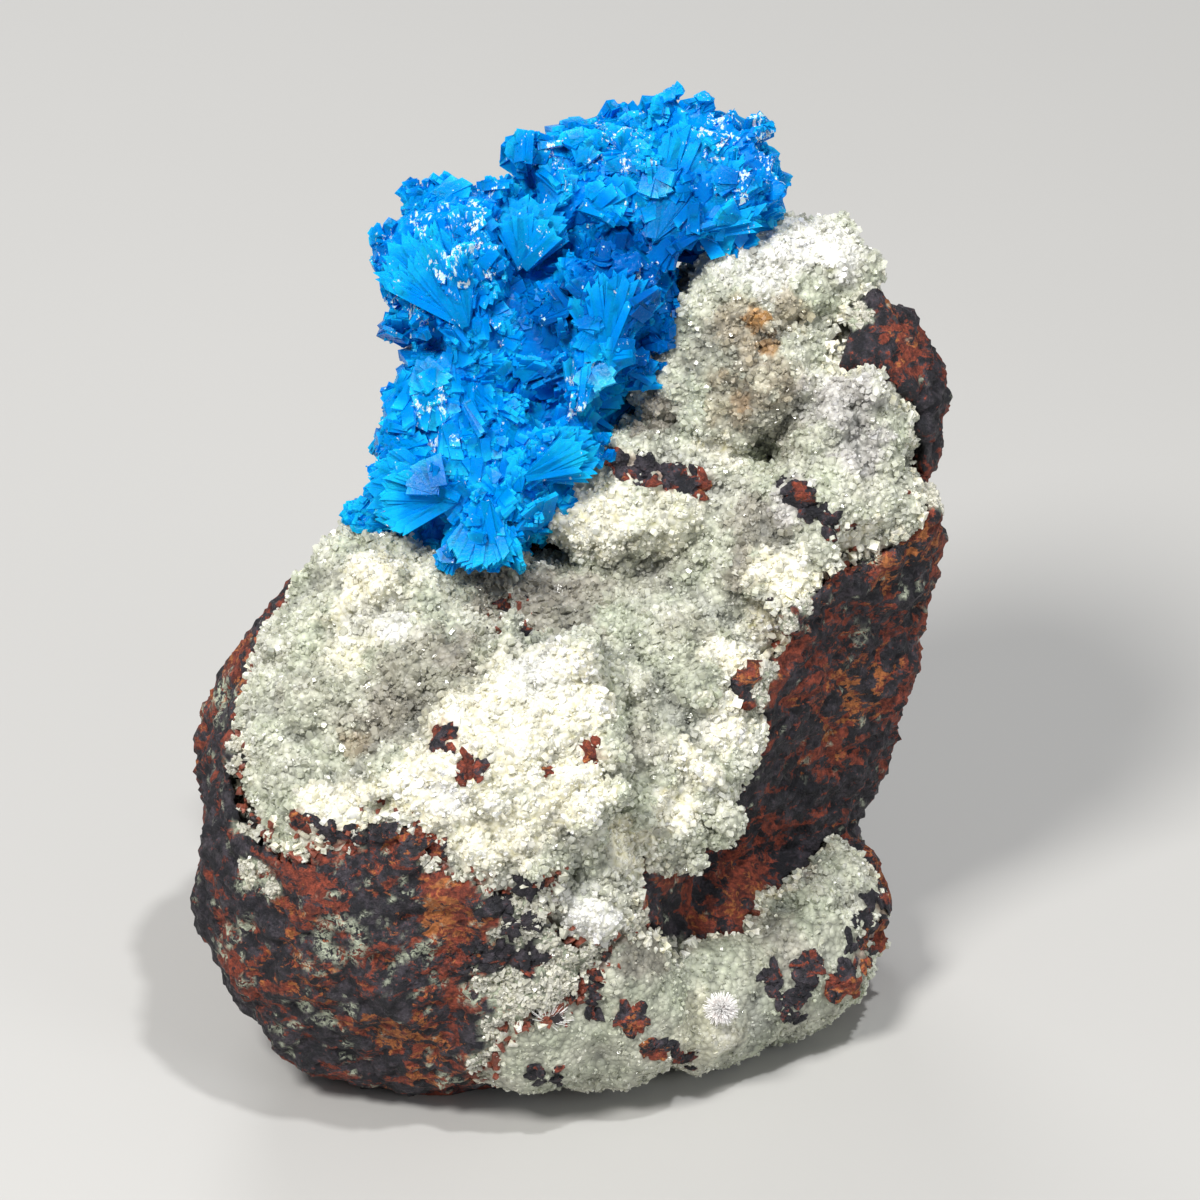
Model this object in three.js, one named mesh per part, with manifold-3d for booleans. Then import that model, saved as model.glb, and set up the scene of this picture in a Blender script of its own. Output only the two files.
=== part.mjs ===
// A specimen of cavansite: blue rosettes of bladed crystals, grown together in one cluster, stand on a
// druse of pale zeolite. The druse lines the broken-open hollow of a dark basalt lump, and a second
// sheet of it coats the foot of the lump, where one white tuft of mordenite sits.
// Millimetres, +Z up, seen from the front, which is -Y. The basalt is broken off flat at z = 0.
import * as THREE from "three";
import { ImprovedNoise } from "three/addons/math/ImprovedNoise.js";
import { mergeVertices } from "three/addons/utils/BufferGeometryUtils.js";
import Module from "manifold-3d";

const wasm = await Module();
wasm.setup();

// Driving dimensions.
const GAP = 0.3; // left between two neighbouring minerals
const ROCK_FACET = 3.2; // length of a facet's edge on the basalt
const CRUST_FACET = 2.15; // the same on the zeolite
const HEART_FACET = 2.6; // the same on the hearts of the cavansite rosettes
const BED_FACET = 4.5; // the same on the hidden floor under the zeolite
const ROCK_RELIEF = { height: 0.9, grain: 5.0 }; // bumps and pits of the basalt
const CRUST_RELIEF = { height: 0.9, grain: 3.0 }; // knobs of the zeolite
const FOOT_RELIEF = { height: 0.5, grain: 3.0 };
const HEART_RELIEF = { height: 0.6, grain: 2.5 };
const SMOOTH = { height: 0, grain: 1 };

// A mass is some round lobes grown into one body, seen from a centre inside it. A lobe may be cut
// by breaks: a break is a direction and how far from the lobe's centre it cuts.
const BASALT = [
  {
    centre: [-1.0, -5.0, 14.0], // body of the lump
    lobes: [
      { at: [-8.2, -12.6, 13.2], radii: [14.6, 10.6, 15.2] }, // round belly at the lower left
      { at: [-7.6, -4.5, 15.6], radii: [15.0, 11.5, 14.2] }, // left shoulder
      { at: [2.0, 5.0, 17.0], radii: [17.0, 9.0, 19.0] }, // back
      { at: [11.0, -2.6, 4.4], radii: [8.4, 9.0, 7.4] }, // foot at the lower right
      { at: [0.0, -5.0, 6.0], radii: [13.5, 11.0, 9.5] }, // underside
    ],
  },
  {
    centre: [12.5, 0.0, 22.0], // right wall, leaning out as it rises
    lobes: [
      {
        at: [11.0, -1.0, 21.0],
        radii: [13.0, 12.0, 20.0],
        breaks: [
          { towards: [0.66, -0.74, -0.14], reach: 6.6 },
          { towards: [0.97, 0.0, -0.25], reach: 9.9 },
          { towards: [0, 0, 1], reach: 12.5 },
        ],
      },
    ],
  },
  {
    centre: [8.0, 8.0, 32.0], // backing of the peak
    lobes: [{ at: [8.0, 8.0, 32.0], radii: [11.0, 5.6, 10.0] }],
  },
  {
    centre: [18.0, 3.5, 35.6], // broken end of the wall, at the upper right
    lobes: [{ at: [18.0, 3.5, 35.6], radii: [4.7, 4.6, 8.0] }],
  },
];

// The hollow that the zeolite fills, with its floor hidden under it.
const BED = [
  { at: [-11.0, -12.0, 24.4], radii: [9.0, 10.6, 7.6] }, // left bowl
  { at: [-14.5, -15.3, 20.5], radii: [5.5, 6.0, 4.5] },
  { at: [-4.5, -16.5, 20.5], radii: [7.5, 6.4, 5.4] }, // front ridge
  { at: [0.6, -18.2, 15.8], radii: [3.6, 4.4, 3.6] }, // notch where the white tip hangs over
  { at: [5.2, -12.4, 20.8], radii: [5.6, 5.8, 6.4] }, // slope beside the right wall
  { at: [5.0, -5.0, 29.0], radii: [9.6, 8.2, 8.6] }, // middle
  { at: [11.5, -6.6, 31.8], radii: [4.5, 4.5, 3.5] }, // right knobs
  { at: [14.6, -2.4, 35.0], radii: [8.0, 6.6, 6.2] },
  { at: [8.6, 4.0, 40.0], radii: [8.8, 9.0, 9.5] }, // peak at the upper right
].map((lobe) => ({ centre: lobe.at, lobes: [lobe] }));

// The zeolite: the lumps of the druse, from the left bowl round to the peak.
const CRUST = [
  {
    centre: [-10.5, -9.5, 21.5], // left bowl
    lobes: [
      { at: [-10.9, -6.0, 26.6], radii: [6.0, 5.8, 5.4] },
      { at: [-6.6, -4.0, 26.6], radii: [5.2, 5.2, 5.0] },
      { at: [-14.4, -7.6, 24.6], radii: [4.2, 4.4, 4.0] },
      { at: [-14.6, -12.0, 21.7], radii: [5.2, 5.2, 5.2] },
      { at: [-8.3, -10.4, 23.8], radii: [5.8, 5.4, 5.2] },
      { at: [-13.2, -17.5, 20.1], radii: [4.6, 3.8, 3.4] },
    ],
  },
  {
    centre: [-3.6, -15.0, 19.6], // front ridge
    lobes: [
      { at: [-9.0, -17.5, 21.9], radii: [4.8, 4.2, 4.0] },
      { at: [-5.2, -17.0, 23.0], radii: [4.9, 4.6, 4.4] },
      { at: [-1.4, -14.0, 25.7], radii: [4.4, 4.4, 4.6] },
      { at: [-0.8, -17.0, 22.0], radii: [4.4, 4.2, 4.2] },
      { at: [-4.0, -19.0, 18.3], radii: [4.6, 3.8, 4.2] },
      { at: [1.1, -19.0, 14.5], radii: [3.0, 3.0, 3.8] }, // white tip that hangs over the foot
    ],
  },
  {
    centre: [4.0, -8.0, 22.5], // slope beside the right wall, and the valley under the cluster
    lobes: [
      { at: [5.6, -8.5, 22.6], radii: [5.6, 5.6, 5.8] },
      { at: [4.4, -12.8, 18.6], radii: [5.2, 5.0, 5.2] },
      { at: [7.6, -11.0, 19.4], radii: [3.6, 3.4, 3.6] },
      { at: [-1.4, -5.0, 24.5], radii: [6.8, 6.0, 5.2] },
      { at: [8.0, -3.5, 26.2], radii: [5.8, 5.0, 5.0] },
    ],
  },
  {
    centre: [6.5, -0.5, 29.5], // middle mound
    lobes: [
      { at: [4.3, -1.2, 32.7], radii: [5.2, 4.8, 4.6] },
      { at: [1.3, -3.0, 31.0], radii: [3.9, 3.8, 3.6] },
      { at: [7.9, -1.0, 31.9], radii: [4.6, 4.2, 4.0] },
      { at: [12.4, -5.2, 29.4], radii: [4.6, 4.2, 4.6] },
    ],
  },
  {
    centre: [15.6, 1.0, 33.5], // right knobs
    lobes: [
      { at: [15.6, -2.0, 32.8], radii: [4.2, 3.8, 3.5] },
      { at: [19.8, -0.8, 30.9], radii: [3.4, 3.4, 2.9] },
      { at: [16.3, 1.0, 35.9], radii: [4.4, 4.2, 4.6] },
      { at: [16.6, 4.0, 38.6], radii: [3.4, 3.6, 3.4] },
    ],
  },
  {
    centre: [10.6, 4.6, 39.6], // peak
    lobes: [
      { at: [10.3, 4.0, 38.1], radii: [6.6, 5.8, 6.2] },
      { at: [6.6, 4.6, 39.4], radii: [4.6, 4.4, 4.6] },
      { at: [10.4, 5.0, 43.0], radii: [3.9, 4.0, 3.7] },
      { at: [14.9, 6.0, 43.7], radii: [4.0, 3.8, 3.5] },
    ],
  },
];

// The sheet of zeolite that coats the foot, grown together with the tip above it.
const FOOT_SHEET = [
  {
    centre: [1.4, -17.5, 7.0],
    lobes: [
      { at: [-2.4, -19.5, 6.8], radii: [4.4, 3.0, 5.2] },
      { at: [1.9, -17.5, 9.9], radii: [3.6, 3.4, 3.6] },
      { at: [2.5, -17.5, 6.0], radii: [5.0, 3.6, 4.8] },
    ],
  },
  {
    centre: [11.0, -10.0, 4.5],
    lobes: [
      { at: [7.3, -14.0, 4.5], radii: [5.4, 4.2, 4.4] },
      { at: [12.5, -10.0, 4.6], radii: [5.2, 4.6, 4.4] },
      { at: [15.6, -6.0, 5.6], radii: [3.6, 4.6, 4.8] },
    ],
  },
];

// Single crystals on the zeolite.
const CRYSTAL = { count: 30, length: 2.0, width: 1.5, thickness: 0.7, lean: 0.7, seed: 11 };

// The cavansite: rosettes of blades that stand out of a heart. The radii are to the blades' tips.
const ROSETTES = [
  {
    centre: [-5.4, -1.0, 35.6], // lower half
    blades: 18,
    lobes: [
      { at: [-6.0, -2.5, 34.1], radii: [6.9, 5.8, 5.9] },
      { at: [-0.8, 0.5, 36.7], radii: [4.0, 4.0, 4.0] },
      { at: [-7.7, -0.5, 39.9], radii: [3.6, 3.8, 3.8] },
    ],
  },
  {
    centre: [-1.0, 2.6, 41.8], // middle
    blades: 10,
    lobes: [
      { at: [-2.9, 2.0, 40.8], radii: [7.6, 5.4, 5.6] },
      { at: [2.9, 3.0, 43.3], radii: [4.9, 4.6, 4.8] },
    ],
  },
  {
    centre: [-6.7, 3.0, 45.9], // upper left
    blades: 10,
    lobes: [{ at: [-6.7, 3.0, 45.9], radii: [5.1, 5.0, 5.6] }],
  },
  {
    centre: [4.6, 7.0, 48.6], // top
    blades: 16,
    lobes: [
      { at: [1.0, 7.0, 48.3], radii: [5.8, 5.0, 5.2] },
      { at: [8.1, 7.0, 49.2], radii: [5.6, 5.0, 5.2] },
    ],
  },
];
const HEART_SHARE = 0.9; // of a rosette's radii
const BLADE = { root: 1.0, width: 3.2, thickness: 0.9, seed: 29 };

// Fans: blades grown side by side, spread by so many degrees about the point they grow from, each
// blade a tooth of the fan's edge.
const FANS = [
  {
    from: [5.1, 3.2, 47.6], // big fan at the upper right
    towards: [0.63, 0.39, 0.67],
    facing: [-0.12, -0.85, 0.5],
    reach: 9.0,
    spread: 74,
    teeth: 6,
  },
  {
    from: [2.0, -1.6, 42.3], // smooth fan in the middle
    towards: [0.1, 0.5, 0.86],
    facing: [0.1, -0.92, 0.4],
    reach: 6.6,
    spread: 62,
    teeth: 5,
  },
  {
    from: [-5.8, -0.8, 43.9], // upper left
    towards: [-0.5, 0.42, 0.76],
    facing: [-0.25, -0.85, 0.45],
    reach: 7.8,
    spread: 60,
    teeth: 5,
  },
  {
    from: [-6.3, -6.2, 35.4], // left edge of the lower rosette
    towards: [-0.95, 0.1, 0.2],
    facing: [-0.15, -0.9, 0.4],
    reach: 6.2,
    spread: 64,
    teeth: 5,
  },
  {
    from: [-2.8, -5.4, 36.3], // right edge of the lower rosette
    towards: [0.88, 0.22, 0.4],
    facing: [0.2, -0.88, 0.42],
    reach: 5.4,
    spread: 52,
    teeth: 4,
  },
  {
    from: [-5.0, -6.8, 35.4], // drooping tip
    towards: [-0.05, -0.5, -0.86],
    facing: [0.05, -0.87, 0.5],
    reach: 4.9,
    spread: 66,
    teeth: 4,
  },
  {
    from: [0.2, -3.0, 39.7], // petal above the lower rosette
    towards: [0.25, 0.5, 0.83],
    facing: [0.3, -0.9, 0.3],
    reach: 4.4,
    spread: 40,
    teeth: 3,
  },
];
const FAN = { thickness: 1.0, notch: 0.13, root: 0.12, layers: [1, 0.78], step: 0.8 };

const TUFT = { at: [8.9, -18.0, 6.7], radius: 1.1, needles: 14, seed: 5 };

const perlin = new ImprovedNoise();

// Height of the relief at a point, from -1 to 1 or so.
function ripple({ x, y, z }, grain) {
  const coarse = perlin.noise(x / grain, y / grain, z / grain);
  const fine = perlin.noise((2.1 * x) / grain + 7, (2.1 * y) / grain, (2.1 * z) / grain);
  return coarse + 0.5 * fine;
}

// Random numbers from 0 to 1, the same ones each time.
function dice(seed) {
  let state = seed * 2654435761;
  return () => {
    state = (state + 0x6d2b79f5) | 0;
    let mixed = Math.imul(state ^ (state >>> 15), 1 | state);
    mixed = (mixed + Math.imul(mixed ^ (mixed >>> 7), 61 | mixed)) ^ mixed;
    return ((mixed ^ (mixed >>> 14)) >>> 0) / 4294967296;
  };
}

function randomDirection(roll) {
  const z = 2 * roll() - 1;
  const turn = 2 * Math.PI * roll();
  const flat = Math.sqrt(1 - z * z);
  return new THREE.Vector3(flat * Math.cos(turn), flat * Math.sin(turn), z);
}

// A closed three.js geometry as a solid.
function solidOf(geometry) {
  const bare = geometry.clone();
  bare.deleteAttribute("normal");
  bare.deleteAttribute("uv");
  const merged = mergeVertices(bare, 1e-4);
  return new wasm.Manifold(
    new wasm.Mesh({
      numProp: 3,
      vertProperties: new Float32Array(merged.getAttribute("position").array),
      triVerts: new Uint32Array(merged.index.array),
    }),
  );
}

// The largest body of a solid as a three.js geometry.
function geometryOf(solid) {
  const bodies = solid.decompose().sort((a, b) => b.volume() - a.volume());
  const { vertProperties, triVerts } = bodies[0].getMesh();
  const geometry = new THREE.BufferGeometry();
  geometry.setAttribute("position", new THREE.BufferAttribute(vertProperties, 3));
  geometry.setIndex(new THREE.BufferAttribute(triVerts, 1));
  geometry.computeVertexNormals();
  return geometry;
}

function joined(solids) {
  return wasm.Manifold.union(solids);
}

// How far a lobe reaches from a point inside or outside it in a direction, or 0 if it is missed.
function lobeReach({ at, radii, breaks = [] }, from, direction) {
  const scale = new THREE.Vector3(...radii);
  const offset = from.clone().sub(new THREE.Vector3(...at));
  const o = offset.clone().divide(scale);
  const d = direction.clone().divide(scale);
  const half = o.dot(d);
  const root = half * half - d.lengthSq() * (o.lengthSq() - 1);
  if (root <= 0) return 0;
  let reach = (Math.sqrt(root) - half) / d.lengthSq();
  for (const cut of breaks) {
    const towards = new THREE.Vector3(...cut.towards).normalize();
    const facing = direction.dot(towards);
    if (facing > 0) reach = Math.min(reach, (cut.reach - offset.dot(towards)) / facing);
  }
  return reach;
}

// How far a mass reaches from its centre in a direction, before any relief.
function massReach(mass, direction) {
  const from = new THREE.Vector3(...mass.centre);
  return Math.max(1, ...mass.lobes.map((lobe) => lobeReach(lobe, from, direction)));
}

function surfacePoint(mass, direction, share = 1) {
  const reach = share * massReach(mass, direction);
  return new THREE.Vector3(...mass.centre).addScaledVector(direction, reach);
}

// A mass as a solid, with relief that is read at the point in space, so that neighbours agree.
function massSolid(mass, { facet, relief, share = 1, grow = 0 }) {
  const axes = [0, 1, 2].flatMap((axis) => [
    new THREE.Vector3().setComponent(axis, 1),
    new THREE.Vector3().setComponent(axis, -1),
  ]);
  const size = axes.reduce((sum, axis) => sum + share * massReach(mass, axis), 0) / axes.length;
  const detail = Math.max(1, Math.round((1.05 * size) / facet) - 1);
  const geometry = new THREE.IcosahedronGeometry(1, detail);
  const position = geometry.getAttribute("position");
  const direction = new THREE.Vector3();
  for (let i = 0; i < position.count; i++) {
    direction.fromBufferAttribute(position, i).normalize();
    const point = surfacePoint(mass, direction, share);
    point.addScaledVector(direction, grow + relief.height * ripple(point, relief.grain));
    position.setXYZ(i, point.x, point.y, point.z);
  }
  return solidOf(geometry);
}

const solidsOf = (masses, form) => joined(masses.map((mass) => massSolid(mass, form)));

// A flat bladed crystal with a chisel point. It grows from the origin along +Z, its broad sides
// face along Y, and its root goes that far below the origin.
function blade({ length, width, thickness, root }) {
  const outline = new THREE.Shape();
  outline.moveTo(-0.3 * width, -root);
  outline.lineTo(0.4 * width, -root);
  outline.lineTo(0.5 * width, 0.6 * length);
  outline.lineTo(-0.1 * width, length);
  const geometry = new THREE.ExtrudeGeometry(outline, { depth: thickness, bevelEnabled: false });
  geometry.translate(0, 0, -thickness / 2);
  geometry.rotateX(Math.PI / 2);
  return geometry;
}

// Stands a crystal at a point, along a direction, turned about it by spin.
function stand(geometry, point, direction, spin) {
  const up = new THREE.Vector3(0, 0, 1);
  const turn = new THREE.Quaternion().setFromUnitVectors(up, direction);
  turn.multiply(new THREE.Quaternion().setFromAxisAngle(up, spin));
  return geometry.applyQuaternion(turn).translate(point.x, point.y, point.z);
}

function isInside(masses, point, margin) {
  return masses.some((mass) =>
    mass.lobes.some(({ at, radii }) => {
      const [x, y, z] = point.toArray().map((value, axis) => (value - at[axis]) / radii[axis]);
      return Math.hypot(x, y, z) < 1 + margin / Math.min(...radii);
    }),
  );
}

// Single crystals on the open sides of the druse, clear of the basalt and of the cluster.
function crustCrystals() {
  const roll = dice(CRYSTAL.seed);
  const made = [];
  while (made.length < CRYSTAL.count) {
    const mass = CRUST[Math.floor(roll() * CRUST.length)];
    const others = CRUST.filter((other) => other !== mass);
    const direction = randomDirection(roll);
    const point = surfacePoint(mass, direction);
    const size = 0.7 + 0.6 * roll();
    const lean = randomDirection(roll).multiplyScalar(CRYSTAL.lean);
    const spin = 2 * Math.PI * roll();
    const covered = isInside(others, point, 0.1) || isInside(ROSETTES, point, 1.6);
    if (covered || isInside(BASALT, point, 0.6) || direction.y > 0.5) continue;
    const crystal = blade({
      length: 0.5 * size * CRYSTAL.length,
      width: size * CRYSTAL.width,
      thickness: size * CRYSTAL.thickness,
      root: 0.5 * size * CRYSTAL.length,
    });
    made.push(solidOf(stand(crystal, point, direction.add(lean).normalize(), spin)));
  }
  return joined(made);
}

// The blades of one rosette, spread evenly over its heart by the golden angle.
function rosetteBlades(rosette, roll) {
  const golden = Math.PI * (3 - Math.sqrt(5));
  return Array.from({ length: rosette.blades }, (_, i) => {
    const z = 1 - (2 * i + 1) / rosette.blades;
    const flat = Math.sqrt(1 - z * z);
    const direction = new THREE.Vector3(flat * Math.cos(i * golden), flat * Math.sin(i * golden), z);
    const size = 0.8 + 0.4 * roll();
    const stands = (1 - HEART_SHARE) * massReach(rosette, direction) * (0.8 + 1.2 * roll());
    const crystal = blade({
      length: stands,
      width: BLADE.width * size,
      thickness: BLADE.thickness * size,
      root: BLADE.root,
    });
    const point = surfacePoint(rosette, direction, HEART_SHARE);
    return solidOf(stand(crystal, point, direction, Math.PI * roll()));
  });
}

// The outline of a fan, with its teeth, standing up from the origin.
function fanOutline({ reach, spread, teeth }, share) {
  const outline = new THREE.Shape();
  const half = THREE.MathUtils.degToRad(spread) / 2;
  outline.moveTo(FAN.root * reach, -FAN.root * reach);
  for (let i = 0; i <= 2 * teeth; i++) {
    const turn = half * (1 - i / teeth);
    const radius = share * reach * (i % 2 ? 1 : 1 - FAN.notch);
    outline.lineTo(radius * Math.sin(turn), radius * Math.cos(turn));
  }
  outline.lineTo(-FAN.root * reach, -FAN.root * reach);
  return outline;
}

// The layers of one fan, each a step in front of the longer one behind it.
function fanLayers(fan) {
  const normal = new THREE.Vector3(...fan.facing).normalize();
  const upward = new THREE.Vector3(...fan.towards).projectOnPlane(normal).normalize();
  const across = new THREE.Vector3().crossVectors(upward, normal);
  const basis = new THREE.Matrix4().makeBasis(across, upward, normal);
  return FAN.layers.map((share, i) => {
    const plate = new THREE.ExtrudeGeometry(fanOutline(fan, share), {
      depth: FAN.thickness,
      bevelEnabled: false,
    });
    plate.translate(0, 0, FAN.step * i - FAN.thickness / 2);
    return solidOf(plate.applyMatrix4(basis).translate(...fan.from));
  });
}

function clusterSolid(underlay) {
  const roll = dice(BLADE.seed);
  const hearts = solidsOf(ROSETTES, { facet: HEART_FACET, relief: HEART_RELIEF, share: HEART_SHARE });
  const blades = ROSETTES.flatMap((rosette) => rosetteBlades(rosette, roll));
  return joined([hearts, ...blades, ...FANS.flatMap(fanLayers)]).subtract(underlay);
}

// A ball of needles, flattened where it sits.
function tuftSolid(underlay) {
  const roll = dice(TUFT.seed);
  const centre = new THREE.Vector3(...TUFT.at);
  const needles = Array.from({ length: TUFT.needles }, () => {
    const needle = new THREE.ConeGeometry(0.16 * TUFT.radius, TUFT.radius, 4);
    needle.translate(0, TUFT.radius / 2, 0).rotateX(Math.PI / 2);
    return solidOf(stand(needle, centre, randomDirection(roll), 0));
  });
  const heart = new THREE.IcosahedronGeometry(0.6 * TUFT.radius, 1).translate(...TUFT.at);
  return joined([solidOf(heart), ...needles]).subtract(underlay);
}

const ground = solidOf(new THREE.BoxGeometry(100, 100, 40).translate(0, 0, -20));
const rockForm = { facet: ROCK_FACET, relief: ROCK_RELIEF };
const bedForm = { facet: BED_FACET, relief: SMOOTH };
const crustForm = { facet: CRUST_FACET, relief: CRUST_RELIEF };
const footForm = { facet: CRUST_FACET, relief: FOOT_RELIEF };
const withGap = (form) => ({ ...form, grow: GAP });
const rock = solidsOf(BASALT, rockForm);
const bed = solidsOf(BED, bedForm);
const foot = solidsOf(FOOT_SHEET, footForm);
const footWithGap = solidsOf(FOOT_SHEET, withGap(footForm));
const keptClear = solidsOf(BASALT, withGap(rockForm)).subtract(bed);

const hollow = solidsOf(BED, withGap(bedForm)).add(footWithGap);
const basalt = rock.subtract(hollow).subtract(ground);
const druse = solidsOf(CRUST, crustForm).add(crustCrystals()).subtract(keptClear);
const crust = druse.add(foot).subtract(ground);
const cluster = clusterSolid(solidsOf(CRUST, withGap(crustForm)).add(keptClear));
const tuft = tuftSolid(footWithGap);

const specimen = new THREE.Group();

function addPiece(name, solid, colour, roughness) {
  const material = new THREE.MeshStandardMaterial({ color: colour, roughness, metalness: 0 });
  material.flatShading = true;
  const mesh = new THREE.Mesh(geometryOf(solid), material);
  mesh.name = name;
  specimen.add(mesh);
}

addPiece("basalt_matrix", basalt, 0x3a2a26, 0.9);
addPiece("zeolite_druse", crust, 0xd5dbc4, 0.45);
addPiece("cavansite_cluster", cluster, 0x0a7fd6, 0.35);
addPiece("mordenite_tuft", tuft, 0xf2ece6, 0.7);

// The origin is the middle of the underside.
const box = new THREE.Box3().setFromObject(specimen);
const middle = box.getCenter(new THREE.Vector3());
specimen.position.set(-middle.x, -middle.y, -box.min.z);

export default specimen;
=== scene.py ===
"""Looks of the cavansite specimen: blue rosettes on a pale zeolite druse in a broken lump of basalt."""

import logging
import math
from dataclasses import dataclass, field
from enum import Enum
from typing import Callable, Optional, Sequence, Union

import bmesh
import bpy
import numpy as np
from mathutils import Matrix, Vector, noise
from mathutils.bvhtree import BVHTree


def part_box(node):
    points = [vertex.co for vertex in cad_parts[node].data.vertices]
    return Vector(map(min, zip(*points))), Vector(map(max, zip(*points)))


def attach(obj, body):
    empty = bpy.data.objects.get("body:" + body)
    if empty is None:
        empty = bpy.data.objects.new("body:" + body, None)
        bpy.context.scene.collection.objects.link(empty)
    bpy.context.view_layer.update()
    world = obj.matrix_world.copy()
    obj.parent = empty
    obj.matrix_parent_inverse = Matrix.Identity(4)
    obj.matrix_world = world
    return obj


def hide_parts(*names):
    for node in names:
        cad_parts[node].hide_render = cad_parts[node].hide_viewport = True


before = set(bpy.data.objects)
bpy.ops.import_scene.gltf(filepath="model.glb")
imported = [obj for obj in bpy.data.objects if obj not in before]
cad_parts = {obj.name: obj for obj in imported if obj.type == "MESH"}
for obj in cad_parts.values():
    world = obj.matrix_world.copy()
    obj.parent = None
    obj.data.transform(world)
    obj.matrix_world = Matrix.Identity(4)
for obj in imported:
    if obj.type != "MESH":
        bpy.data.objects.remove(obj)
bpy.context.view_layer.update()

log = logging.getLogger("specimen")

MM = 0.001
NOISE_SEED = 1

Colour = tuple[float, float, float]
Point = tuple[float, float, float]


def rgba(colour: Colour) -> tuple[float, float, float, float]:
    """A colour with full alpha."""
    return (*colour, 1.0)


# ---------------------------------------------------------------- the photograph's view


@dataclass(frozen=True)
class PhotoView:
    """The camera's place, and where a point of the picture lands on the specimen.

    Lengths are in millimetres in the part's frame; picture points are in pixels of a square picture.
    """

    target: Point = (1.833, 0.519, 26.7)
    elevation: float = math.radians(30.0)
    distance: float = 500.0
    width: float = 72.0
    pixels: int = 1200
    sensor: float = 36.0

    @property
    def pixel(self) -> float:
        """How many millimetres of the specimen one pixel spans."""
        return self.width / self.pixels

    @property
    def ahead(self) -> Vector:
        """The direction that the camera looks in."""
        return Vector((0.0, math.cos(self.elevation), -math.sin(self.elevation)))

    @property
    def up(self) -> Vector:
        """The picture's upward direction."""
        return Vector((0.0, math.sin(self.elevation), math.cos(self.elevation)))

    @property
    def eye(self) -> Vector:
        """Where the camera stands, in metres."""
        return (Vector(self.target) - self.distance * self.ahead) * MM

    def make_camera(self) -> None:
        """Adds the camera and makes it the scene's own."""
        data = bpy.data.cameras.new("camera")
        data.sensor_width = self.sensor
        data.lens = self.sensor * self.distance / self.width
        data.clip_start = 0.01
        data.clip_end = 10.0
        camera = bpy.data.objects.new("camera", data)
        camera.location = self.eye
        camera.rotation_euler = self.ahead.to_track_quat("-Z", "Y").to_euler()
        bpy.context.scene.collection.objects.link(camera)
        bpy.context.scene.camera = camera

    def land(self, tree: BVHTree, across: float, down: float) -> Optional[Vector]:
        """Where a picture point lands.

        Args:
            tree: the surface that is looked at.
            across: pixels from the picture's left edge.
            down: pixels from its top edge.

        Returns:
            The point on the surface in metres, or None where the picture point misses it.
        """
        step = self.pixel / self.distance
        middle = self.pixels / 2
        towards = self.ahead + Vector((1, 0, 0)) * (across - middle) * step
        towards += self.up * (middle - down) * step
        hit, _, _, _ = tree.ray_cast(self.eye, towards.normalized())
        return hit


VIEW = PhotoView()


# ---------------------------------------------------------------- shader maths


Input = Union["Value", float, int]


class Value:
    """A number that varies over a surface: wraps a socket so that expressions add Math nodes."""

    def __init__(self, paint: "Paint", socket: bpy.types.NodeSocket) -> None:
        """Wraps a socket.

        Args:
            paint: the material that the socket is in.
            socket: the output that carries the number.
        """
        self.paint = paint
        self.socket = socket

    def _math(self, operation: str, *values: Input) -> "Value":
        """The result of a Math node over some values."""
        node = self.paint.node("ShaderNodeMath", {"operation": operation}, dict(enumerate(values)))
        return Value(self.paint, node.outputs[0])

    def __add__(self, other: Input) -> "Value":
        """The sum of two values."""
        return self._math("ADD", self, other)

    __radd__ = __add__

    def __sub__(self, other: Input) -> "Value":
        """The value less another."""
        return self._math("SUBTRACT", self, other)

    def __rsub__(self, other: Input) -> "Value":
        """Another value less this one."""
        return self._math("SUBTRACT", other, self)

    def __mul__(self, other: Input) -> "Value":
        """The product of two values."""
        return self._math("MULTIPLY", self, other)

    __rmul__ = __mul__

    def clear(self) -> "Value":
        """The value kept between 0 and 1."""
        return self._math("MINIMUM", self._math("MAXIMUM", self, 0.0), 1.0)

    def most(self, other: Input) -> "Value":
        """The larger of two values."""
        return self._math("MAXIMUM", self, other)

    def between(self, low: float, high: float) -> "Value":
        """A smooth step.

        Args:
            low: where the step starts, at 0.
            high: where it ends, at 1.

        Returns:
            A value from 0 to 1.
        """
        node = self.paint.node(
            "ShaderNodeMapRange",
            {"interpolation_type": "SMOOTHSTEP"},
            {"Value": self, "From Min": low, "From Max": high, "To Min": 0.0, "To Max": 1.0},
        )
        return Value(self.paint, node.outputs["Result"])


Shade = Union[bpy.types.NodeSocket, Colour]


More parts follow.
